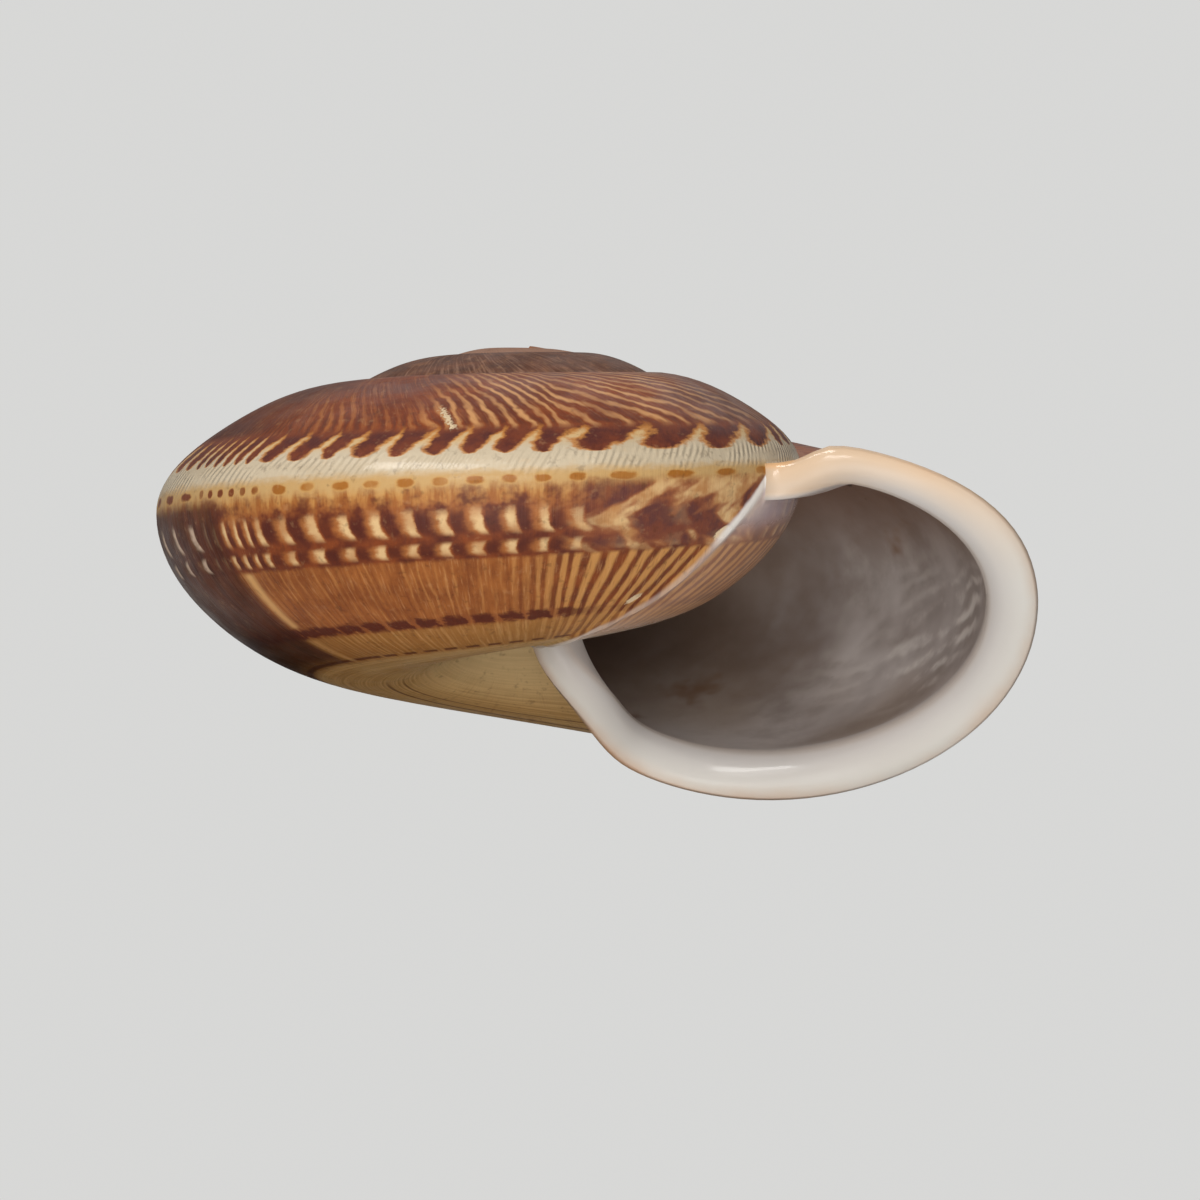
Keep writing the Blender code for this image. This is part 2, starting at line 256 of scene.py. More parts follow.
def shares_of_rows(turns):
    """Outline shares of the points of every column: evenly spaced between the edges of the joints with the
    next whorl, and evenly from end to end where no whorl follows."""
    following = turns + 1
    length = 2.2 * radius(turns)
    near_lip = ease(following, 4.45, LIP_AT) * (1 - ease(following, LIP_AT + 0.02, 4.82))
    width_above = (JOINT_WIDTH + 0.55 * near_lip) / length
    width_below = (JOINT_WIDTH + 0.60 * near_lip) / length
    top = suture_place(following)
    bottom = np.full_like(top, SEAM_PLACE)
    marks = np.stack([0 * top, top, top + width_above, bottom - width_below, bottom, 0 * top + 1], 1)
    mark_rows = np.array([0, JOINT_ROW, SIDE_ROW, SEAM_ROW, PIT_ROW, ROWS])
    spread = ease(following, LIP_AT + 0.02, LIP_AT + 0.40)[:, None]
    marks = marks + (mark_rows / ROWS - marks) * spread
    j = np.arange(ROWS + 1)
    part = np.clip(np.searchsorted(mark_rows, j, side="right") - 1, 0, 4)
    share = (j - mark_rows[part]) / np.diff(mark_rows)[part]
    return marks[:, part] + (marks[:, part + 1] - marks[:, part]) * share


def turn_length(turns):
    """Millimetres in one turn, one value for each column."""
    return 2 * math.pi * np.maximum(3.0, 0.8 * radius(turns))[:, None]


def whorls_of_points(turns, s):
    """Whorl of every point. The columns lean until the last one lies along the root of the lip, and the whorl
    before makes room for the lip's lower end."""
    following = turns + 1
    j = np.arange(ROWS + 1)
    lean = ease(turns, LIP_LEANS_FROM, LIP_AT)[:, None]
    reach = lip_line(1.0)
    makes_room = ease(following, LIP_LEANS_FROM, LIP_AT) * (1 - ease(following, LIP_AT + 0.02, 5.1))
    room = makes_room[:, None] * reach
    share = 0.8 * ease(np.clip((j - SIDE_ROW) / SIDE, 0, 1), 0, 1)
    share = share + 0.2 * np.clip((j - SEAM_ROW) / SEAM, 0, 1)
    share = share * np.clip((ROWS - j) / BELOW, 0, 1)
    behind = LIP_BEHIND * LIP_WIDTH / turn_length(turns)
    n = turns[:, None] + lean * (lip_line(s) - behind * lip_share(s)) + room * share
    n[:, ROWS] = turns + lean[:, 0] * reach
    return n


def past_glaze_edge(n, s):
    """Millimetres that each point lies inside the glaze beside the mouth, or NO_GLAZE away from it."""
    past = np.clip(s, *GLAZE_SHARES) - GLAZE_SHARES[0]
    edge = GLAZE_EDGE + GLAZE_SLANT * past + GLAZE_WAVE * np.sin(7 * math.pi * past)
    j = np.arange(ROWS + 1)
    within = np.clip((edge - n) * 2 * math.pi * radius(n), NO_GLAZE, 30)
    return np.where((j > JOINT_ROW) & (j < PIT_ROW), within, NO_GLAZE)


def raised(turns, s, ahead, glaze):
    """Millimetres by which the outer face stands out from the plain coil: it flares just behind the lip, by
    an exponential of the distance, and the glaze adds its thickness and a rounded rim along its edge."""
    j = np.arange(ROWS + 1)
    flare = np.exp(np.minimum(ahead + LIP_BEHIND * LIP_WIDTH, 0) / 0.5) * ease(ahead, -4.0, -1.5)
    flare = LIP_FLARE * LIP_WIDTH * flare * lip_share(s) * (turns > 4)[:, None]
    held = ease((j - JOINT_ROW) / SUTURE, 0.15, 1.3) * ease((PIT_ROW - j) / SEAM, 0.15, 1.3)
    coat = GLAZE_THICKNESS * ease(glaze, -0.12, 0.25) + GLAZE_RIM * np.exp(-((glaze - 0.22) / 0.20) ** 2)
    return flare + coat * held * (turns < 4)[:, None]


def inner_face(n, s, plain, normal, edges):
    """Inner face: the plain coil less the wall along its normals. The wall thins to nothing at both ends of
    the outline, where the face meets the whorl before along the two given rows of points."""
    thickness = WALL * np.clip(radius(n) / 13, 0.4, 1) ** 0.7
    thickness = thickness * ease(s, 0, 0.075) * ease(1 - s, 0, 0.10)
    inner = plain - normal * thickness[..., None]
    inner = inner + (1 - ease(s, 0, 0.085))[..., None] * (edges[0] - plain[:, 0])[:, None]
    return inner + ease(s, 0.90, 1)[..., None] * (edges[1] - plain[:, ROWS])[:, None]


def lip_strip(s, outer, inner, normal, ends):
    """Points of the lip, rows along it and SUTURE + 1 across: the straight way from the edge of the outer
    face to that of the inner, moved ahead and out by the lip's profile, and held at both ends to the given
    rows of points."""
    q = np.linspace(0, 1, SUTURE + 1)
    ahead, out = lip_profile(q)
    full = lip_share(s)[:, None]
    forward = unit(np.cross(unit(np.gradient(outer, axis=0)), normal))
    lip = outer[:, None] * (1 - q[:, None]) + inner[:, None] * q[:, None]
    lip = lip + forward[:, None] * (ahead * (0.25 + 0.75 * full))[..., None]
    lip = lip + normal[:, None] * (out * full)[..., None]
    held = (1 - ease(s, 0, 0.06))[:, None, None], ease(s, 0.94, 1)[:, None, None]
    return lip + held[0] * (ends[0] - lip[0]) + held[1] * (ends[1] - lip[-1])


def lip_length():
    """Millimetres across the lip from the outer face to the inner, in steps of its profile."""
    q = np.linspace(0, 1, SUTURE + 1)
    ahead, out = lip_profile(q)
    steps = np.diff(np.stack([ahead, out - (LIP_FLARE * LIP_WIDTH + WALL) * q], -1), axis=0)
    return np.cumsum(np.linalg.norm(steps, axis=-1))[-1]


def chart(across, along, level):
    """Places on the painted sheet: two shares from 0 to 1 spread over the stretch above that level."""
    left, right = SHEET_GAP, 1 - SHEET_GAP
    low, high = SHEET_LEVELS[level] + SHEET_GAP, SHEET_LEVELS[level + 1] - SHEET_GAP
    return np.stack([left + (right - left) * across, low + (high - low) * along], -1)


def cells_of(grid):
    """The four corners of each cell of a grid, in rows of the first axis."""
    return np.stack([grid[:-1, :-1], grid[1:, :-1], grid[1:, 1:], grid[:-1, 1:]], -1)


class Faces:
    """The faces of the surface, four corners each, with seven values at a corner: the number of its point,
    whorl, outline share, millimetres past the lip's outer edge, millimetres past the edge of the glaze, and
    place across and along the painted sheet."""

    def __init__(self):
        self.parts = []

    def add_grid(self, chosen, numbers, where, past, glaze, sheet, flip=False):
        """The chosen cells of a grid of points. Flipped, they face the other way."""
        values = [numbers, where[0], where[1], past, glaze, sheet[..., 0], sheet[..., 1]]
        cells = np.stack([cells_of(np.broadcast_to(v, numbers.shape)) for v in values], -1)
        cells = cells[..., ::-1, :] if flip else cells
        self.parts.append(cells[np.broadcast_to(chosen, cells.shape[:2])])

    def add_fan(self, centre, edge, n, s, past):
        """Triangles from one point to a row of points, with the last corner twice."""
        cells = np.zeros((len(edge) - 1, 4, 7))
        cells[..., 0] = np.stack([np.full(len(edge) - 1, centre), edge[:-1], edge[1:], edge[1:]], -1)
        cells[..., 1:5] = n, s, past, NO_GLAZE
        cells[..., 5:] = 0.002 + 0.001 * np.array([[0, 0], [1, 0], [1, 1], [1, 1]])
        self.parts.append(cells)

    def joined(self):
        """Point numbers of all corners in a row, corners in each face, and the other values. Corners that
        fall together, at the poles and the ends of the lip, are left out."""
        cells = np.vstack(self.parts)
        numbers = np.rint(cells[..., 0]).astype(int)
        kept = numbers != np.roll(numbers, 1, axis=1)
        real = kept.sum(1) >= 3
        kept &= real[:, None]
        return numbers[kept], kept.sum(1)[real], cells[kept][:, 1:]


def new_numbers(count, columns, rows):
    """A grid of numbers that goes on from count, and the count after it. Its first and last rows are left
    at 0, to be given the numbers of other points."""
    number = np.zeros((columns, rows + 1), int)
    number[:, 1:rows] = count + np.arange(columns * (rows - 1)).reshape(columns, rows - 1)
    return number, count + columns * (rows - 1)


def grown_shell():
    """The whole closed surface as points and faces. Columns of points follow the growth, n, and rows follow
    the outline, s: outer face p(n, s) raised along its normals, inner face p - wall normal, and between them
    the lip, a rounded profile carried along their edges. Each whorl shares its end rows with the one
    before."""
    turns = columns_of_points()
    last = len(turns) - 1
    start = turns[0]
    s = shares_of_rows(turns)
    n = whorls_of_points(turns, s)
    around = turn_length(turns)

    # Outer face. Its end rows lie on the whorl before, and in the first turn at the apex and in the pit
    plain = surface(n, s, start)
    normal = outward(n, s, start)
    ahead = (n - LIP_AT - lip_line(s)) * around
    glaze = past_glaze_edge(n, s)
    outer = plain + normal * raised(turns, s, ahead, glaze)[..., None]
    number, count = new_numbers(0, last + 1, ROWS)
    apex, pit = count, count + 1
    count += 2
    number[:COLUMNS, 0], number[:COLUMNS, ROWS] = apex, pit
    number[COLUMNS:, 0], number[COLUMNS:, ROWS] = number[:-COLUMNS, JOINT_ROW], number[:-COLUMNS, PIT_ROW]
    poles = np.zeros((2, 3))
    poles[:, 2] = outer[:COLUMNS, 0, 2].mean(), outer[:COLUMNS, ROWS, 2].mean()

    # Inner face, from the start of the hollow to the lip
    inside = np.arange(round((HOLLOW_FROM - start) * COLUMNS), last + 1)
    before = inside - COLUMNS
    edges = outer[before, SIDE_ROW], outer[before, SEAM_ROW]
    inner = inner_face(n[inside], s[inside], plain[inside], normal[inside], edges)
    number_in, count = new_numbers(count, len(inside), ROWS)
    number_in[:, 0], number_in[:, ROWS] = number[before, SIDE_ROW], number[before, SEAM_ROW]

    # Lip, between the last outer and inner columns. Its ends lie on the joints of the whorl before
    joints = slice(JOINT_ROW, SIDE_ROW + 1), slice(SEAM_ROW, PIT_ROW + 1)
    ends = outer[last - COLUMNS, joints[0]], outer[last - COLUMNS, joints[1]][::-1]
    lip = lip_strip(s[last], outer[last], inner[-1], normal[last], ends)
    number_lip = np.zeros((ROWS + 1, SUTURE + 1), int)
    number_lip[1:ROWS], count = new_numbers(count, ROWS - 1, SUTURE)
    number_lip[:, 0], number_lip[:, SUTURE] = number[last], number_in[-1]
    number_lip[0] = number[last - COLUMNS, joints[0]]
    number_lip[ROWS] = number[last - COLUMNS, joints[1]][::-1]

    # The far end of the hollow is closed round one point, which comes last
    points = [outer[:, 1:ROWS], poles, inner[:, 1:ROWS], lip[1:ROWS, 1:SUTURE]]
    points = np.vstack([part.reshape(-1, 3) for part in points])
    ring = np.r_[number_in[0], number[before[0], SIDE_ROW + 1:SEAM_ROW][::-1]]
    points = np.vstack([points, points[ring].mean(0)])

    # Faces of the outer face: the last whorl in two halves, the roof, the wall of the pit, and the side that
    # the hollow shows
    travelled = np.cumsum(np.r_[0, np.diff(turns) * 2 * math.pi * radius(turns[1:])])
    travelled = np.broadcast_to(travelled[:, None], n.shape)

    def reached(first, final):
        """Share of the way along the growth between two columns."""
        return (travelled - travelled[first]) / (travelled[final, 0] - travelled[first, 0])

    half, third = last - COLUMNS // 2, last - COLUMNS // 3
    whorl = last - COLUMNS
    roof_half = round(whorl * 0.72)
    k = np.arange(ROWS)[None]
    i = np.arange(last)[:, None]
    faces = Faces()
    past_lip = np.clip(ahead + LIP_BEHIND * LIP_WIDTH * lip_share(s), FAR_OUT, 0)
    outside = number, (n, s), past_lip, glaze
    for first, final, level in ((half, last, 0), (whorl, half, 1)):
        faces.add_grid((i >= first) & (i < final), *outside, chart(reached(first, final), s, level))
    for first, final, level in ((roof_half, whorl, 2), (0, roof_half, 3)):
        chosen = (i >= first) & (i < final) & (k < JOINT_ROW)
        faces.add_grid(chosen, *outside, chart(reached(first, final), s / 0.33, level))
    in_pit = (s - SEAM_PLACE) / (1 - SEAM_PLACE)
    faces.add_grid((i < whorl) & (k >= PIT_ROW), *outside, chart(reached(0, whorl), in_pit, 4))
    chosen = (i < whorl) & (i >= before[0]) & (k >= SIDE_ROW) & (k < SEAM_ROW)
    faces.add_grid(chosen, *outside, chart(reached(before[0], whorl), s, 5))

    # Faces of the inner face, in two stretches, and of the lip
    depth = np.clip(lip_length() - ahead[inside], 0, FAR_IN)
    i = i[inside[0]:]
    for first, final, level in ((third, last, 6), (inside[0], third, 7)):
        sheet = chart(reached(first, final)[inside], s[inside], level)
        chosen = (i >= first) & (i < final)
        faces.add_grid(chosen, number_in, (n[inside], s[inside]), depth, NO_GLAZE, sheet, True)
    q = np.broadcast_to(np.linspace(0, 1, SUTURE + 1), number_lip.shape)
    along_lip = [np.broadcast_to(v[last][:, None], number_lip.shape) for v in (n, s)]
    sheet = chart(along_lip[1], q, 8)
    faces.add_grid(True, number_lip, along_lip, q * lip_length(), NO_GLAZE, sheet, True)

    # Fans that close the apex, the pit below it and the far end of the hollow
    faces.add_fan(apex, number[0, 1:JOINT_ROW + 1], start, 0.1, FAR_OUT)
    faces.add_fan(pit, number[0, PIT_ROW:ROWS], start, 0.9, FAR_OUT)
    faces.add_fan(count, np.r_[ring, ring[0]][::-1], HOLLOW_FROM, 0.5, FAR_IN)
    return points, *faces.joined()


def lean_of_rest():
    """Turn that brings the upright shell onto the places it rests on."""
    forwards = Matrix.Rotation(math.radians(TILT_FORWARDS), 4, "X")
    return forwards @ Matrix.Rotation(-math.radians(TILT_SIDEWAYS), 4, "Y")


def rest_pose(points):
    """Points turned to rest, raised by FLATTENED exp(-height / FLATTENED_REACH) where the ground wears them,
    and mapped axis by axis onto the solid part's box, in metres. Also the matrix from the upright shell, in
    metres, to that place."""
    lean = lean_of_rest()
    turned = points @ np.array(lean.to_3x3()).T
    height = turned[:, 2] - turned[:, 2].min()
    turned[:, 2] += FLATTENED * np.exp(-height / FLATTENED_REACH)
    low, high = turned.min(0), turned.max(0)
    cad_low, cad_high = (np.array(corner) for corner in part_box("shell"))
    scale = (cad_high - cad_low) / (high - low)
    foot = np.array([(low[0] + high[0]) / 2, (low[1] + high[1]) / 2, low[2]])
    return cad_low + (turned - low) * scale, Matrix.Translation(-foot * 0.001) @ lean


def build_mesh(name):
    """Mesh of the grown shell, with its values stored on the face corners."""
    points, loops, totals, values = grown_shell()
    placed, pose = rest_pose(points)
    mesh = bpy.data.meshes.new(name)
    mesh.vertices.add(len(placed))
    mesh.vertices.foreach_set("co", placed.astype(np.float32).ravel())
    mesh.loops.add(len(loops))
    mesh.loops.foreach_set("vertex_index", loops.astype(np.int32))
    mesh.polygons.add(len(totals))
    mesh.polygons.foreach_set("loop_start", (np.cumsum(totals) - totals).astype(np.int32))
    mesh.update(calc_edges=True)
    for layer, columns in (("OFBake", (4, 5)), ("growth", (0, 1)), ("edges", (2, 3))):
        uv = mesh.uv_layers.new(name=layer, do_init=False)
        uv.uv.foreach_set("vector", values[:, columns].astype(np.float32).ravel())
    mesh.uv_layers.active = mesh.uv_layers["OFBake"]
    mesh.shade_smooth()
    return mesh, pose


# ---------------------------------------------------------------------------------------------------------
# Shader maths
# ---------------------------------------------------------------------------------------------------------
class Value:
    """An output of a node. Arithmetic on it, with a number or another output, adds Math nodes."""

    def __init__(self, recipe, output):
        self.recipe, self.output = recipe, output

    def __add__(self, other):
        return self.recipe.maths("ADD", self, other)

    def __sub__(self, other):
        return self.recipe.maths("SUBTRACT", self, other)

    def __rsub__(self, other):
        return self.recipe.maths("SUBTRACT", other, self)

    def __mul__(self, other):
        return self.recipe.maths("MULTIPLY", self, other)

    def __truediv__(self, other):
        return self.recipe.maths("DIVIDE", self, other)

    __radd__, __rmul__ = __add__, __mul__


class Recipe:
    """One material and the nodes that make it."""

    def __init__(self, name):
        self.material = bpy.data.materials.new(name)
        self.material.use_nodes = True
        self.tree = self.material.node_tree
        self.tree.nodes.clear()

    def node(self, kind, settings=None, inputs=None, output=0):
        """A node of any kind: its settings are set first, then its inputs by name or number."""
        made = self.tree.nodes.new(kind)
        for name, value in (settings or {}).items():
            setattr(made, name, value)
        for name, value in (inputs or {}).items():
            socket = made.inputs[name]
            if isinstance(value, Value):
                self.tree.links.new(value.output, socket)
            else:
                socket.default_value = value
        return Value(self, made.outputs[output]) if made.outputs else None

    def maths(self, operation, *values):
        """A Math node of the given operation."""
        return self.node("ShaderNodeMath", {"operation": operation}, dict(enumerate(values)))

    def ease(self, x, a, b, low=0.0, high=1.0):
        """low before a, high after b, and smooth between."""
        settings = {"interpolation_type": "SMOOTHSTEP", "clamp": True}
        if a > b:
            a, b, low, high = b, a, high, low
        inputs = {"Value": x, "From Min": a, "From Max": b, "To Min": low, "To Max": high}
        return self.node("ShaderNodeMapRange", settings, inputs)

    def between(self, x, a, b, soft):
        """1 from a to b and 0 outside, over a soft edge."""
        return self.ease(x, a - soft, a + soft) * self.ease(x, b + soft, b - soft)

    def clamp(self, x, low, high):
        return self.node("ShaderNodeClamp", None, {"Value": x, "Min": low, "Max": high})

    def fraction(self, x):
        return self.maths("FRACT", x)

    def from_whole(self, x):
        """Distance to the nearest whole number, 0 to 0.5."""
        return self.maths("PINGPONG", x, 0.5)

    def vector(self, x, y, z=0.0):
        return self.node("ShaderNodeCombineXYZ", None, {"X": x, "Y": y, "Z": z})

    def noise(self, vector, scale, detail=2.0, roughness=0.5):
        """Noise from 0 to 1 round 0.5."""
        settings = {"noise_dimensions": "3D"}
        inputs = {"Vector": vector, "Scale": scale, "Detail": detail, "Roughness": roughness}
        return self.node("ShaderNodeTexNoise", settings, inputs)

    def mix(self, share, first, second):
        """Colour from first to second by share. A plain colour is a tuple of sRGB values out of 255."""
        first, second = (c if isinstance(c, Value) else linear(c) for c in (first, second))
        made = self.tree.nodes.new("ShaderNodeMix")
        made.data_type = "RGBA"
        for socket, value in ((made.inputs[0], share), (made.inputs[6], first), (made.inputs[7], second)):
            if isinstance(value, Value):
                self.tree.links.new(value.output, socket)
            else:
                socket.default_value = value
        return Value(self, made.outputs[2])


def linear(colour):
    """Linear colour of sRGB values out of 255."""
    c = np.array(colour) / 255
    return (*np.where(c <= 0.04045, c / 12.92, ((c + 0.055) / 1.055) ** 2.4).tolist(), 1.0)


# ---------------------------------------------------------------------------------------------------------
# Shell material. A pair is where a marking begins to show and where it is full, or where it lies.
# ---------------------------------------------------------------------------------------------------------
# Outline shares, from the suture down
STRIPES_DARKEN = 0.165, 0.215
FLAMES_FROM = 0.208, 0.234
CREAM_FROM = 0.246, 0.276
FLAME_TIP = 0.256               # the round end of a flame's head begins here,
FLAME_TIP_DEPTH = 0.029         # and reaches this much further down
CREAM_TURNS_TAN = 0.308, 0.330
DOT_LEVEL, DOT_DEPTH = 0.3362, 0.0078
GOLDEN_LINE_FROM = 0.334, 0.360
RIDGED = 0.278, 0.322           # the cream band's fine ridges, and where it is smoother and glossier
SMOOTHER, GLOSSIER = (0.285, 0.33), (0.285, 0.335)
GIRDLE_FROM, GIRDLE_MIDDLE = (0.344, 0.378), 0.398
BLOTCHED = 0.347, 0.445
UPPER_CRESCENTS_FROM, UPPER_CRESCENTS_TO = 0.380, (0.416, 0.405)
BETWEEN_CRESCENTS = 0.416, 0.420
LOWER_CRESCENTS = 0.4245, 0.4420
UPPER_BEND, LOWER_BEND = (0.388, 0.022), (0.434, 0.012)    # where the crescents curve, and how quickly
SIDE_FROM = 0.445, 0.453
DARK_BAND = 0.5515, 0.5710
STREAK_ABOVE, STREAK_BELOW = (0.451, 0.548), (0.577, 0.638)    # the growth streak, beside the dark band
LOWER_SIDE_FROM = 0.566, 0.579
THREAD = 0.6308, 0.6380
BASE_FROM = 0.637, 0.650
UPPER_BASE_LINE = 0.7330, 0.7385
LOWER_BASE_LINE = 0.7620, 0.7660

# Whorls at which the pattern changes along the growth. The front of the shell is at 3.75
NUCLEUS_TAN = 2.55, 1.9
EARLY_WHORLS = 3.52, 3.38
BLOTCHES_FROM, BLOTCHES_UNTIL = (3.56, 3.60), (3.742, 3.700)
STRIPES_UNTIL = 3.765, 3.71
SOLID_ROOF = 3.812, 3.848
DOTS_BROWN_FROM = 3.86, 3.905
GAPS_CLOSE_FROM = 3.86, 3.90
GROWTH_PAUSE = 3.9025, 3.9085
DARK_FROM, DARK_UNTIL = (3.9085, 3.917), (4.42, 4.30)
SLITS_FROM, SLITS_UNTIL = (3.922, 3.935), (4.05, 3.99)

# Flames, crescents and side lines in a whorl, where they stand closer or wider apart, and by how many
FLAMES, FLAMES_CLOSER, FLAMES_WIDER = 55.5, (3.892, 3.945, 60), (3.57, 3.73, 30)
CRESCENTS, CRESCENTS_CLOSER, CRESCENTS_WIDER = 61, (3.885, 3.93, 65), (3.60, 3.715, 30)
CRESCENTS_AFTER = 3.93, 4.02, 16
SIDE_LINES, SIDE_LINES_WIDER, STRIPES_WIDER = 225, (3.72, 3.77, 75), (3.40, 3.72, 130)

SCRATCH_WHORL, SCRATCH_SLANT, SCRATCH_SHARES = 3.8350, 0.2133, (0.166, 0.226)
CHIPS = (3.674, 0.544, 0.006, 0.013), (3.631, 0.428, 0.006, 0.012)     # whorl, share, and their sizes


class Place:
    """Where a point lies on the shell, and the noises that several markings share: whorl n, outline share s,
    millimetres past the lip's outer edge and past the glaze's edge, and the place in space."""

    def __init__(self, m):
        growth = m.node("ShaderNodeUVMap", {"uv_map": "growth"})
        self.n = m.node("ShaderNodeSeparateXYZ", None, {"Vector": growth}, "X")
        self.s = Value(m, self.n.output.node.outputs["Y"])
        edges = m.node("ShaderNodeUVMap", {"uv_map": "edges"})
        self.lip = m.node("ShaderNodeSeparateXYZ", None, {"Vector": edges}, "X")
        self.glaze = Value(m, self.lip.output.node.outputs["Y"])
        self.space = m.node("ShaderNodeTexCoord", None, None, "Object")
        self.mottle = m.noise(m.vector(self.n * 14, self.s * 16), 1.0, 4.0, 0.6)
        self.cloud = m.noise(m.vector(self.n * 75, self.s * 27), 1.0, 3.0, 0.6)
        self.ragged = (m.noise(m.vector(self.n * 130, self.s * 75), 1.0, 4.0, 0.6) - 0.5) * 0.26
        self.streaky = m.noise(m.vector(self.n * 150, self.s * 14), 1.0, 3.0, 0.6)
        self.wobble = m.noise(m.vector(self.n * 30, self.s * 9), 1.0, 2.0) - 0.5


def extra(m, n, stretch):
    """What a phase gains over a stretch of the growth: its first and last whorl, and how many in a whorl."""
    return m.clamp(n, stretch[0], stretch[1]) * stretch[2]


def flame_phase(m, at, along):
    """Phase of the flames at a distance along the growth."""
    return along * FLAMES + extra(m, at.n, FLAMES_CLOSER) - extra(m, at.n, FLAMES_WIDER)


def growth_phases(m, at):
    """Place along the growth on the leaning growth lines, and phases that pass a whole number at each dark
    flame and at each crescent. Both come faster where the shell grew slowly. The flames lean with the growth
    lines, which sweep back over the roof and hook forwards above the cream band."""
    up = m.maths("MAXIMUM", 0.22 - at.s, 0.0)
    g = at.n - up * 0.16 - up * up * 0.8 - m.ease(at.s, 0.222, 0.280, 0.0, 0.0075) + at.wobble * 0.005
    flame = flame_phase(m, at, g) + 0.20
    flame = flame + (m.noise(m.vector(at.n * 40, 3.0), 1.0, 1.0) - 0.5) * 0.4
    tooth = at.n * CRESCENTS + extra(m, at.n, CRESCENTS_CLOSER) - extra(m, at.n, CRESCENTS_WIDER)
    tooth = tooth - extra(m, at.n, CRESCENTS_AFTER) + 62.67
    tooth = tooth + (m.noise(m.vector(at.n * 33, 11.0), 1.0, 1.0) - 0.5) * 0.30
    return g, flame, tooth


def roof(m, at, g, flame):
    """Brown roof with slanting tan stripes, wide in front and towards the lip and fine elsewhere. The early
    whorls are dull brown and the nucleus tan. Painted shade darkens the roof towards both sides, away from
    the front."""
    wide = m.ease(at.n, 3.83, 3.77) * m.ease(at.n, 3.45, 3.60) + m.ease(at.n, 4.08, 4.25) * 0.6
    stripe = flame * 2.0 + m.clamp(flame - 333.0, 0.0, 60.0) * 0.45
    stripe = stripe + (m.noise(m.vector(at.n * 26, at.s * 9 + 7), 1.0, 3.0, 0.6) - 0.5) * 2.2
    beside = m.from_whole(stripe)
    strength = m.ease(m.noise(m.vector(g * 34, at.s * 7 + 20), 1.0, 3.0, 0.6), 0.36, 0.62)
    fine = m.noise(m.vector(g * 260, at.s * 7), 1.0, 4.0, 0.7)
    hairs = m.noise(m.vector(g * 520, at.s * 22), 1.0, 3.0, 0.6)
    pale = m.ease(beside + (fine - 0.5) * 0.30, 0.20, 0.44)
    pale = pale * m.clamp(strength * 0.70 + wide * 0.45, 0.0, 1.0)
    solid = m.between(at.n, *SOLID_ROOF, 0.014)
    pale = pale * (1.0 - solid * 0.75) * m.ease(at.n, 3.99, 3.93, 0.35, 1.0)
    colour = m.mix(m.ease(at.mottle, 0.3, 0.7), (142, 66, 24), (102, 42, 16))
    colour = m.mix(m.ease(fine, 0.50, 0.70) * 0.40, colour, (176, 106, 56))
    colour = m.mix(m.ease(fine, 0.46, 0.28) * 0.50, colour, (84, 38, 22))
    colour = m.mix(pale, colour, m.mix(wide, (182, 112, 56), (206, 150, 96)))
    colour = m.mix(m.ease(hairs, 0.55, 0.75) * 0.30, colour, (198, 142, 94))
    colour = m.mix(m.ease(hairs, 0.44, 0.26) * 0.35, colour, (84, 42, 26))
    edge = m.ease(at.s, *STRIPES_DARKEN) * m.ease(beside, 0.24, 0.06)
    colour = m.mix(edge * 0.55, colour, (84, 42, 32))
    # Painted shade: the roof is darkened towards its left and right sides, away from the front at whorl 3.75
    left, right = m.ease(at.n, 3.84, 3.94) * m.ease(at.n, 4.20, 4.05), m.ease(at.n, 3.67, 3.57) * 0.8
    painted_shade = m.maths("MAXIMUM", left, right)
    colour = m.mix(painted_shade * 0.60, colour, m.mix(m.ease(at.n, 3.7, 3.8), (88, 50, 36), (60, 22, 10)))
    dull = m.mix(m.ease(at.mottle, 0.3, 0.7), (110, 66, 44), (78, 44, 28))
    dull = m.mix(m.ease(fine, 0.45, 0.70) * 0.55, dull, (166, 126, 102))
    dull = m.mix(m.ease(fine, 0.46, 0.28) * 0.55, dull, (84, 54, 44))
    dull = m.mix(m.ease(at.cloud, 0.52, 0.72) * 0.35, dull, (168, 118, 80))
    dull = m.mix(m.ease(at.n, *NUCLEUS_TAN) * 0.6, dull, (180, 132, 104))
    colour = m.mix(m.ease(at.n, *EARLY_WHORLS), colour, dull)
    seam = m.ease(at.s, 0.012, 0.003) * m.ease(at.lip, -4.0, -6.0)
    return m.mix(seam * 0.7, colour, (188, 112, 62))


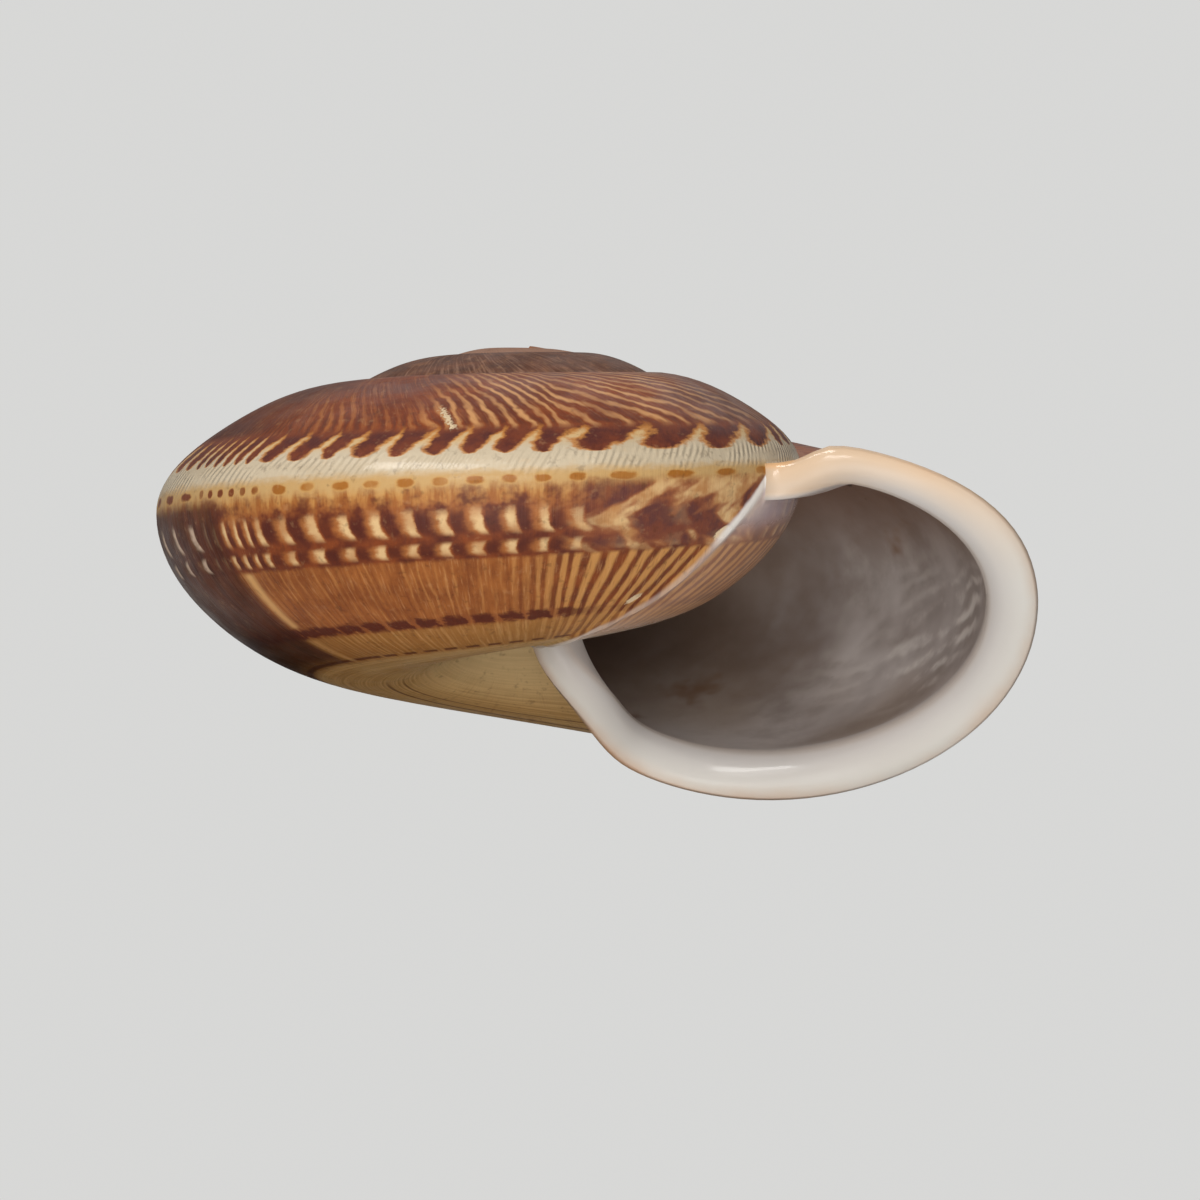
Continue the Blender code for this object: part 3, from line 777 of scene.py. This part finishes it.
def cream_band(m, at, flame, colour):
    """Cream band with the rounded heads of the dark flames hanging into it, each with a golden fringe. The
    heads differ in length and width, and the cream between them runs up in thin slanting lines."""
    differs = m.noise(m.vector(flame * 0.9, 5.0), 1.0, 1.0) - 0.5
    low = m.clamp((at.s - FLAME_TIP + differs * 0.014) / FLAME_TIP_DEPTH, 0.0, 1.0)
    half = m.ease(at.s, 0.212, 0.252, 0.53, 0.345) * m.maths("SQRT", 1.0 - low * low) + differs * 0.12
    half = half - m.ease(at.s, 0.284, 0.290) * 0.30
    inside = half - m.from_whole(flame) + at.ragged * 2.0
    cream = m.mix(m.ease(at.s + at.ragged * 0.03, 0.216, 0.244), (158, 94, 50), (210, 174, 122))
    cream = m.mix(m.ease(at.s + at.ragged * 0.03, *CREAM_FROM), cream, (202, 186, 160))
    cream = m.mix(m.ease(at.mottle, 0.40, 0.70) * 0.45, cream, (184, 164, 132))
    cream = m.mix(m.ease(at.s + at.ragged * 0.08, *CREAM_TURNS_TAN), cream, (190, 154, 102))
    zone = m.mix(m.ease(inside, -0.13, 0.0) * 0.85, cream, (184, 116, 46))
    head = m.mix(m.ease(at.cloud, 0.35, 0.65), (116, 58, 38), (88, 44, 38))
    head = m.mix(m.ease(at.s, 0.240, 0.215) * 0.75, head, (138, 70, 38))
    zone = m.mix(m.ease(inside, -0.03, 0.11), zone, head)
    return m.mix(m.ease(at.s + at.ragged * 0.04, *FLAMES_FROM), colour, zone)


def golden_dots(m, at, tooth, colour):
    """Row of soft golden dots under the cream band, browner and closer towards the growth streak, and the
    mottled golden line below them."""
    differs = m.noise(m.vector(tooth * 0.8, 17.0), 1.0, 1.0)
    across = m.from_whole(tooth) / (0.17 + differs * 0.16)
    along = (at.s - DOT_LEVEL - (differs - 0.5) * 0.004) / DOT_DEPTH
    far = across * across * across + along * along + at.ragged * 7.0 + (at.cloud - 0.5) * 2.0
    tan = m.ease(at.s + (at.streaky - 0.5) * 0.030 + at.ragged * 0.06, *GOLDEN_LINE_FROM)
    patchy = m.mix(m.ease(at.streaky, 0.38, 0.62), (190, 138, 76), (150, 92, 44))
    colour = m.mix(tan, colour, m.mix(m.ease(at.cloud, 0.48, 0.68) * 0.7, patchy, (138, 78, 44)))
    brown = m.ease(at.n, *DOTS_BROWN_FROM)
    faded = m.ease(differs, 0.30, 0.50, 0.65, 1.0)
    colour = m.mix(m.ease(far, 2.2, 0.9) * 0.55, colour, (192, 146, 84))
    return m.mix(m.ease(far, 1.3, 0.35) * faded, colour, m.mix(brown, (158, 100, 38), (116, 58, 28)))


def girdle(m, at, tooth, colour):
    """Brown girdle with two rows of cream crescents, sharp on one side and fuzzy on the other, which run
    together into smoky blotches beside the mouth. Also the phase and the rows of the crescents."""
    brown = m.mix(m.ease(at.cloud, 0.34, 0.66), (130, 66, 34), (92, 43, 30))
    brown = m.mix(m.ease(at.cloud, 0.58, 0.40) * m.ease(at.s, 0.395, 0.355) * 0.8, brown, (172, 108, 56))
    level = at.s + (at.streaky - 0.5) * 0.014 + (at.cloud - 0.5) * 0.05 + at.ragged * 0.08
    colour = m.mix(m.ease(level, *GIRDLE_FROM), colour, brown)
    bend_one = m.clamp((at.s - UPPER_BEND[0]) / UPPER_BEND[1], 0.0, 1.2)
    bend_two = (at.s - LOWER_BEND[0]) / LOWER_BEND[1]
    below = m.ease(at.s, *BETWEEN_CRESCENTS)
    bend = bend_one * bend_one * 0.15 * (1.0 - below) + bend_two * bend_two * 0.10 * below
    u = m.fraction(0.75 - tooth - bend + at.ragged * 0.12)
    differs = m.noise(m.vector(tooth * 0.9, at.s * 30), 1.0, 1.0)
    top = UPPER_CRESCENTS_FROM + (differs - 0.5) * 0.014
    level = at.s + at.ragged * 0.02
    rows = m.ease(at.s + at.ragged * 0.05 - top, -0.009, 0.008) * m.ease(level, *UPPER_CRESCENTS_TO)
    rows = rows + m.between(level, *LOWER_CRESCENTS, 0.0045)
    strength = m.ease(differs, 0.25, 0.58, 0.25, 0.88)
    soft = u + at.ragged * 1.5
    fringe = m.ease(soft, 0.30, 0.66) * m.ease(u + at.ragged * 0.7, 1.03, 0.92) * rows
    core = m.ease(soft, 0.56, 0.80) * m.ease(u + at.ragged * 0.7, 0.990, 0.890) * rows * strength
    colour = m.mix(fringe * 0.74, colour, (180, 116, 62))
    colour = m.mix(core, colour, (222, 190, 140))
    patch = m.ease(u, 0.0, 0.08) * m.ease(u + at.ragged * 1.2, 0.52, 0.26) * rows
    colour = m.mix(patch * 0.7, colour, (78, 35, 28))
    blurred = m.ease(at.n + at.ragged * 0.03, *BLOTCHES_UNTIL) * m.ease(at.n, *BLOTCHES_FROM)
    blurred = blurred * m.between(at.s + at.ragged * 0.03, *BLOTCHED, 0.012)
    smoke = at.n * 34 + m.maths("ABSOLUTE", at.s - GIRDLE_MIDDLE) * 16
    blotch = m.noise(m.vector(smoke * 1.25, at.s * 18 + 5), 1.0, 2.0, 0.5) + at.ragged * 0.40
    light = m.mix(m.ease(at.cloud, 0.35, 0.65), (216, 180, 130), (186, 134, 84))
    spotted = m.mix(m.ease(blotch, 0.40, 0.50), light, (156, 96, 62))
    dark = m.mix(m.ease(at.cloud, 0.4, 0.6), (120, 66, 50), (98, 58, 54))
    spotted = m.mix(m.ease(blotch, 0.45, 0.56), spotted, dark)
    return m.mix(blurred * 0.88, colour, spotted), u, rows


def side(m, at, colour):
    """Orange-brown side with fine lines along the growth, and bold stripes near the mouth."""
    line = at.n - (at.s - 0.45) * m.clamp(3.73 - at.n, 0.0, 0.09) * 2.6 + at.wobble * 0.004
    line = line * SIDE_LINES - extra(m, line, SIDE_LINES_WIDER) - extra(m, line, STRIPES_WIDER)
    uneven = m.ease(at.n, 3.72, 3.78, 0.9, 2.4)
    line = line + (m.noise(m.vector(at.n * 60, at.s * 6), 1.0, 3.0, 0.6) - 0.5) * uneven
    stroke = m.from_whole(line)
    faint = m.noise(m.vector(at.n * 150, at.s * 9), 1.0, 3.0, 0.6)
    fine = m.noise(m.vector(at.n * 620, at.s * 26), 1.0, 3.0, 0.6)
    plain = m.mix(m.ease(at.cloud, 0.3, 0.7), (162, 99, 50), (136, 78, 40))
    plain = m.mix(m.ease(stroke, 0.22, 0.46) * m.ease(faint, 0.42, 0.66) * 0.55, plain, (192, 134, 76))
    plain = m.mix(m.ease(stroke, 0.24, 0.04) * m.ease(faint, 0.60, 0.36) * 0.55, plain, (122, 66, 34))
    bold = m.ease(stroke + at.ragged * 0.35, 0.12, 0.36)
    bold = m.mix(bold, m.mix(m.ease(at.cloud, 0.35, 0.65), (132, 68, 34), (106, 54, 32)), (194, 140, 80))
    plain = m.mix(m.ease(at.n, *STRIPES_UNTIL), plain, bold)
    lower = m.mix(m.ease(stroke, 0.20, 0.42) * m.ease(faint, 0.4, 0.6) * 0.7, (162, 114, 60), (192, 148, 92))
    lower = m.mix(m.ease(at.n, 3.745, 3.70), lower, m.mix(0.35, bold, (178, 130, 76)))
    plain = m.mix(m.ease(at.s, *LOWER_SIDE_FROM), plain, lower)
    plain = m.mix(m.ease(fine, 0.52, 0.74) * 0.35, plain, (214, 162, 108))
    plain = m.mix(m.ease(fine, 0.46, 0.26) * 0.40, plain, (106, 58, 34))
    return m.mix(m.ease(at.s + at.ragged * 0.03, *SIDE_FROM), colour, plain)


def dark_bands(m, at, colour):
    """Dark band with small fuzzy gaps, and a dashed thread below it."""
    closing = m.ease(at.n, *GAPS_CLOSE_FROM)
    gap = m.from_whole(flame_phase(m, at, at.n) + (at.s - 0.56) * 6 - 0.13)
    dark = m.ease(gap + at.ragged * 2.4 - closing * 0.14, 0.47, 0.33)
    band = m.between(at.s + at.ragged * 0.09, *DARK_BAND, 0.0045)
    band = band * m.ease(at.n, 3.70, 3.725, 0.35, 1.0) * (0.60 + dark * 0.40)
    colour = m.mix(band, colour, m.mix(dark, (144, 84, 48), (92, 42, 28)))
    dash = m.from_whole(at.n * FLAMES - m.clamp(at.n, *FLAMES_WIDER[:2]) * 12 + 0.37)
    dash = m.ease(dash + at.ragged - closing * 0.3, 0.38, 0.24)
    thread = m.between(at.s + (at.mottle - 0.5) * 0.004 + at.ragged * 0.01, *THREAD, 0.0022)
    return m.mix(thread * dash * m.ease(at.n, 3.675, 3.70) * 0.92, colour, (96, 50, 26))


def slow_growth(m, at, u, rows, colour):
    """Cream streak where the growth paused, and the dark red-brown stretch beyond it with pale slits."""
    after = m.ease(at.n, *DARK_FROM) * m.ease(at.n, *DARK_UNTIL)
    red = m.mix(m.ease(at.streaky, 0.38, 0.62), (64, 27, 14), (88, 42, 23))
    red = m.mix(m.ease(at.n, 3.945, 4.0), red, (56, 24, 14))
    red = m.mix(m.ease(at.cloud, 0.55, 0.75) * 0.35, red, (116, 66, 40))
    colour = m.mix(after * m.ease(at.s, 0.340, 0.362) * m.ease(at.s, 0.66, 0.61) * 0.90, colour, red)
    slit = m.ease(u + at.ragged * 0.6, 0.70, 0.88) * m.ease(u, 0.985, 0.93) * rows
    slit = slit * m.ease(at.n, *SLITS_UNTIL) * m.ease(at.n, *SLITS_FROM)
    colour = m.mix(slit * after * 0.75, colour, (216, 190, 166))
    streak = m.between(at.n + at.ragged * 0.006, *GROWTH_PAUSE, 0.0028)
    streak = streak * (m.between(at.s, *STREAK_ABOVE, 0.004) + m.between(at.s, *STREAK_BELOW, 0.004) * 0.6)
    return m.mix(streak * 0.85, colour, (222, 176, 114))


def base(m, at, colour):
    """Olive-tan base with fine lines round the umbilicus and two dark ones."""
    rings = m.noise(m.vector(at.n * 5, at.s * 240), 1.0, 3.0, 0.65)
    broad = m.noise(m.vector(at.n * 9, at.s * 26), 1.0, 2.0)
    plain = m.mix(m.ease(rings, 0.35, 0.65), (204, 168, 114), (170, 132, 80))
    plain = m.mix(m.ease(broad, 0.45, 0.7) * 0.5, plain, (206, 176, 124))
    plain = m.mix(m.ease(at.streaky, 0.55, 0.75) * 0.3, plain, (146, 102, 60))
    wavy = (broad - 0.5) * 0.006
    lines = m.between(at.s + wavy, *UPPER_BASE_LINE, 0.0020)
    lines = lines + m.between(at.s + wavy, *LOWER_BASE_LINE, 0.0016) * 0.8
    plain = m.mix(lines * m.ease(at.n, 3.98, 4.06) * 0.85, plain, (92, 50, 28))
    plain = m.mix(m.ease(at.s, 0.76, 0.88) * 0.7, plain, (206, 184, 140))
    return m.mix(m.ease(at.s + at.ragged * 0.03, *BASE_FROM), colour, plain)


def worn_spots(m, at):
    """A jagged scratch on the roof and two small chips beside the glaze."""
    jag = m.noise(m.vector(at.n * 330, at.s * 130), 1.0, 4.0, 0.75) - 0.5
    off = m.maths("ABSOLUTE", at.n - SCRATCH_WHORL + at.s * SCRATCH_SLANT + jag * 0.014)
    mark = m.ease(off + jag * 0.003, 0.0021, 0.0009) * m.between(at.s + jag * 0.04, *SCRATCH_SHARES, 0.006)
    for chip_n, chip_s, wide_n, wide_s in CHIPS:
        dn, ds = (at.n - chip_n + jag * 0.009) / wide_n, (at.s - chip_s + jag * 0.012) / wide_s
        tip = dn - ds * 0.6
        mark = m.maths("MAXIMUM", mark, m.ease(tip * tip * 2.5 + ds * ds, 1.0, 0.5))
    return mark


def glazed(m, at, colour):
    """Thin clear glaze beside the mouth: milky mauve above, pinkish and striped in the middle, cream at the
    foot, with a thick white edge that is partly painted highlight along its rim, strongest above. Also how
    strongly it covers, and where the hollow inside begins."""
    smear = (at.mottle - 0.5) * 0.9 + (at.cloud - 0.5) * 0.4
    cover = m.ease(at.glaze + smear * 0.35, -0.10, 0.12)
    upper, foot = m.ease(at.s + smear * 0.02, 0.450, 0.395), m.ease(at.s, 0.585, 0.665)
    film = m.clamp(cover * (0.32 + upper * 0.44 + foot * 0.48), 0.0, 0.96)
    tint = m.mix(upper, (196, 152, 126), (186, 170, 176))
    tint = m.mix(m.ease(at.glaze + smear, 2.2, 4.5) * (1.0 - upper), tint, (176, 138, 120))
    tint = m.mix(m.ease(at.glaze + smear * 1.5, 2.4, 0.7) * upper, tint, (214, 200, 198))
    tint = m.mix(foot, tint, (226, 204, 186))
    colour = m.mix(film, colour, tint)
    # White edge of the glaze: partly its own white rim and partly painted highlight, strongest in the upper
    # part
    edge = m.ease(at.glaze, -0.05, 0.12) * m.ease(at.glaze + smear * 0.5, 0.80, 0.30)
    edge = edge * (0.28 + m.ease(at.s, 0.46, 0.42) * 0.68 + foot * 0.4)
    return m.mix(m.clamp(edge, 0.0, 1.0), colour, (240, 234, 228)), film, m.ease(at.glaze, 7.0, 13.0)


def hollow(m, at, haze, veil):
    """Grey inside with cloudy mauve and brown, pale ripples along the growth, stains and specks, painted
    shade deeper in and under its roof, and painted light on its lower wall.
    """
    smoke = m.noise(at.space, 420.0, 4.0, 0.62)
    grey = m.mix(m.ease(haze, 0.3, 0.7), (214, 206, 202), (180, 170, 166))
    grey = m.mix(m.ease(smoke, 0.42, 0.66) * 0.45, grey, (152, 138, 130))
    grey = m.mix(m.ease(veil, 0.40, 0.64) * 0.60, grey, (158, 134, 112))
    ripple = m.from_whole(at.s * 30 + at.n * 40 + (haze - 0.5) * 3.0)
    ripples = m.ease(ripple, 0.10, 0.46) * m.between(at.s, 0.27, 0.48, 0.05)
    ripples = ripples * m.ease(at.lip, 4.4, 7.0) * m.ease(at.lip, 15.0, 8.5) * m.ease(smoke, 0.36, 0.60)
    grey = m.mix(ripples * 0.90, grey, (246, 240, 234))
    # Painted shade: the hollow darkens deeper in from the lip, more in its upper part
    painted_depth_shade = m.ease(at.lip + (haze - 0.5) * 12, 7.0, 22.0) * m.ease(at.s, 0.62, 0.45, 0.12, 0.80)
    grey = m.mix(painted_depth_shade, grey, (112, 90, 76))
    # Painted shade, tinted brown, under the roof of the hollow
    painted_roof_shade = m.ease(at.s + (haze - 0.5) * 0.1, 0.30, 0.14) * m.ease(at.lip, 4.0, 9.0)
    grey = m.mix(painted_roof_shade * 0.80, grey, (128, 96, 78))
    # Painted light: the lower wall of the hollow, which faces up towards the lamps, is made paler
    grey = m.mix(m.ease(at.s, 0.54, 0.68) * 0.70, grey, (232, 226, 222))
    stain = m.ease(m.noise(at.space, 170.0, 4.0, 0.65), 0.58, 0.70) * m.ease(at.lip, 7.0, 11.0)
    grey = m.mix(stain * 0.65, grey, (128, 90, 60))
    dirt = m.ease(m.noise(at.space, 900.0, 1.0), 0.755, 0.80) * m.ease(at.lip, 5.0, 7.0)
    grey = m.mix(dirt * 0.8, grey, (70, 54, 44))
    return m.mix(m.ease(at.lip, 5.2, 2.8), grey, (214, 208, 204))


def lip_white(m, at, haze, veil, colour):
    """White lip with a peach outer edge, peach all over at its upper end, and painted shade where it turns
    inside. Also where it is.
    """
    white = m.mix(m.ease(veil, 0.35, 0.7), (224, 221, 215), (214, 210, 203))
    # Painted shade: greyer on the inner slope, where the lip turns inside
    white = m.mix(m.ease(at.lip, 1.5, 2.8) * 0.55, white, (192, 186, 186))
    ends = m.ease(at.s, 0.40, 0.20) + m.ease(at.s, 0.60, 0.80)
    outer = m.ease(at.lip + (haze - 0.5) * 1.5, 1.9, 0.4)
    white = m.mix(outer * (0.78 + ends * 0.22), white, (214, 164, 118))
    white = m.mix(m.ease(at.s, 0.28, 0.12) * m.ease(at.lip, 2.8, 1.5) * 0.60, white, (222, 180, 134))
    white = m.mix(m.ease(at.s, 0.13, 0.03) * m.ease(at.lip, 0.2, 1.2) * 0.8, white, (206, 180, 152))
    where = m.ease(at.lip, -0.35, 0.25) * m.ease(at.lip, 4.0, 2.6)
    return m.mix(where, colour, white), where


def shell_material():
    """Satin shell with its pattern, glossy glaze and lip, and the grey inside."""
    m = Recipe("shell")
    at = Place(m)
    g, flame, tooth = growth_phases(m, at)
    colour = roof(m, at, g, flame)
    colour = cream_band(m, at, flame, colour)
    colour = golden_dots(m, at, tooth, colour)
    colour, u, rows = girdle(m, at, tooth, colour)
    colour = side(m, at, colour)
    colour = dark_bands(m, at, colour)
    colour = slow_growth(m, at, u, rows, colour)
    colour = base(m, at, colour)
    worn = worn_spots(m, at)
    colour = m.mix(worn, colour, (220, 196, 160))
    speck = m.noise(at.space, 2600.0, 2.0, 0.7)
    colour = m.mix(m.ease(speck, 0.58, 0.76) * 0.15, colour, (206, 164, 116))
    colour = m.mix(m.ease(speck, 0.43, 0.26) * 0.30, colour, (60, 32, 22))
    colour = m.mix(m.ease(at.lip + (at.mottle - 0.5) * 1.2, -2.2, -0.6), colour, (216, 178, 136))
    colour, film, far = glazed(m, at, colour)
    haze = m.noise(at.space, 260.0, 3.0, 0.55)
    veil = m.noise(at.space, 90.0, 2.0)
    within = m.maths("MAXIMUM", m.ease(at.lip, 2.6, 3.6), far)
    colour = m.mix(within, colour, hollow(m, at, haze, veil))
    colour, rim = lip_white(m, at, haze, veil, colour)

    # Gloss
    grain = m.noise(at.space, 700.0, 3.0, 0.6)
    glossy = m.maths("MAXIMUM", rim, m.clamp(film * 1.2, 0.0, 1.0) * (1.0 - far))
    old = m.ease(at.n, 3.50, 3.25)
    rough = 0.38 + m.ease(grain, 0.35, 0.7) * 0.16 - m.between(at.s, *SMOOTHER, 0.01) * 0.12 + old * 0.12
    rough = rough + within * 0.14 + worn * 0.25
    rough = rough + (0.21 - rough) * glossy
    coat = 0.01 + glossy * 0.50 + m.between(at.s, *GLOSSIER, 0.015) * 0.20

    # Relief: growth lines, fine slanting ridges over the cream band, and grain
    slant = (at.n - (at.s - 0.30) * 0.14) * 240 + at.wobble * 1.5
    ridge = m.ease(m.from_whole(slant), 0.02, 0.48) * m.between(at.s, *RIDGED, 0.014)
    ridge = ridge * m.ease(m.noise(m.vector(at.n * 40, at.s * 24 + 40), 1.0, 2.0), 0.36, 0.58)
    lines = m.noise(m.vector(g * 420, at.s * 7), 1.0, 3.0, 0.65)
    outside = (1.0 - within) * (1.0 - rim)
    height = (lines * 1.2 + ridge * 2.4) * (1.0 - glossy * 0.75) * outside
    height = height + grain * 0.35 + m.noise(at.space, 160.0, 2.0) * 0.6 - worn
    relief = m.node("ShaderNodeBump", None, {"Strength": 0.6, "Distance": 0.00003, "Height": height})

    gloss = {"Base Color": colour, "Roughness": rough, "Coat Weight": coat, "Coat Roughness": 0.07,
             "IOR": 1.45, "Specular IOR Level": 0.24, "Normal": relief}
    look = m.node("ShaderNodeBsdfPrincipled", None, gloss)
    m.node("ShaderNodeOutputMaterial", None, {"Surface": look})
    return m.material


# ---------------------------------------------------------------------------------------------------------
# Stage
# ---------------------------------------------------------------------------------------------------------
MIDDLE = 0.0, 0.0, 0.007           # what the lamps face, in metres
WORLD_LIGHT, WORLD_SEEN = 0.32, 0.95    # strength of the background on the shell and to the camera
# The camera, in millimetres of the upright shell: the point it is aimed at and its distance from there
CAMERA_AIM, CAMERA_DISTANCE = (2.7, 0, -8.02), 235.5
CAMERA_LOOKS_UP, CAMERA_ROLL = 0.16, 0.0163     # degrees and radians
LENS, SHIFT_DOWN = 195.0, 0.025     # focal length in millimetres, and the shift as a share of the width
FLOOR_HALF = 3.0                # half of the floor's side, in metres


def place_camera(pose):
    """Camera in front of the mouth, square to the shell's own axis but for CAMERA_LOOKS_UP."""
    aim = Vector(CAMERA_AIM)
    looking_up = math.radians(CAMERA_LOOKS_UP)
    back = Vector((0, -math.cos(looking_up), -math.sin(looking_up)))
    up = Vector((0, -math.sin(looking_up), math.cos(looking_up)))
    turn = Matrix((Vector((1, 0, 0)), up, back)).transposed() @ Matrix.Rotation(CAMERA_ROLL, 3, "Z")
    place = Matrix.Translation((aim + back * CAMERA_DISTANCE) * 0.001) @ turn.to_4x4()
    data = bpy.data.cameras.new("camera")
    data.sensor_width, data.lens, data.shift_y = 36.0, LENS, -SHIFT_DOWN
    data.clip_start, data.clip_end = 0.01, 10.0
    camera = bpy.data.objects.new("camera", data)
    camera.matrix_world = pose @ place
    bpy.context.scene.collection.objects.link(camera)
    bpy.context.scene.camera = camera


def lamp(name, place, size, power, colour=(1.0, 1.0, 1.0)):
    """A soft rectangular lamp that faces the shell."""
    data = bpy.data.lights.new(name, "AREA")
    data.shape, data.size, data.size_y = "RECTANGLE", size[0], size[1]
    data.energy, data.color = power, colour
    made = bpy.data.objects.new(name, data)
    facing = (Vector(place) - Vector(MIDDLE)).to_track_quat("Z", "Y").to_matrix().to_4x4()
    made.matrix_world = Matrix.Translation(place) @ facing
    bpy.context.scene.collection.objects.link(made)


def floor_material():
    """Pale matt floor, which isn't there for a camera below it."""
    m = Recipe("pale_floor")
    top = m.node("ShaderNodeBsdfDiffuse", None, {"Color": (0.80, 0.80, 0.79, 1), "Roughness": 0.9})
    under = m.node("ShaderNodeBsdfTransparent")
    behind = m.node("ShaderNodeNewGeometry", None, None, "Backfacing")
    both = m.node("ShaderNodeMixShader", None, {0: behind, 1: top, 2: under})
    m.node("ShaderNodeOutputMaterial", None, {"Surface": both})
    return m.material


def studio_world():
    """Pale background, which lights the shell less strongly than it shows."""
    world = bpy.data.worlds.new("studio")
    world.use_nodes = True
    back = world.node_tree.nodes["Background"]
    back.inputs["Color"].default_value = (0.72, 0.72, 0.71, 1)
    seen = world.node_tree.nodes.new("ShaderNodeLightPath").outputs["Is Camera Ray"]
    share = world.node_tree.nodes.new("ShaderNodeMapRange")
    share.inputs["To Min"].default_value, share.inputs["To Max"].default_value = WORLD_LIGHT, WORLD_SEEN
    world.node_tree.links.new(seen, share.inputs["Value"])
    world.node_tree.links.new(share.outputs["Result"], back.inputs["Strength"])
    bpy.context.scene.world = world


def build_stage():
    """Floor and studio. The floor throws no shadow, so that the low lamp reaches the base of the shell."""
    mesh = bpy.data.meshes.new("floor")
    half = FLOOR_HALF
    corners = [(-half, -half, 0), (half, -half, 0), (half, half, 0), (-half, half, 0)]
    mesh.from_pydata(corners, [], [(0, 1, 2, 3)])
    mesh.materials.append(floor_material())
    floor = bpy.data.objects.new("floor", mesh)
    floor.visible_shadow = False
    bpy.context.scene.collection.objects.link(floor)
    studio_world()
    lamp("key_light", (-0.15, -0.19, 0.14), (0.18, 0.05), 0.34, (1.0, 0.98, 0.95))
    lamp("front_light", (-0.03, -0.30, 0.00), (0.16, 0.12), 0.37, (1.0, 0.99, 0.97))
    lamp("low_light", (0.02, -0.22, -0.15), (0.20, 0.10), 0.27, (1.0, 0.98, 0.95))
    lamp("back_light", (-0.05, 0.20, 0.30), (0.30, 0.20), 0.16)


mesh, pose = build_mesh("snail_shell")
mesh.materials.append(shell_material())
shell = bpy.data.objects.new("snail_shell", mesh)
bpy.context.scene.collection.objects.link(shell)
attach(shell, "root")
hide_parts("shell")
place_camera(pose)
build_stage()
bpy.context.scene.view_settings.view_transform = "Standard"
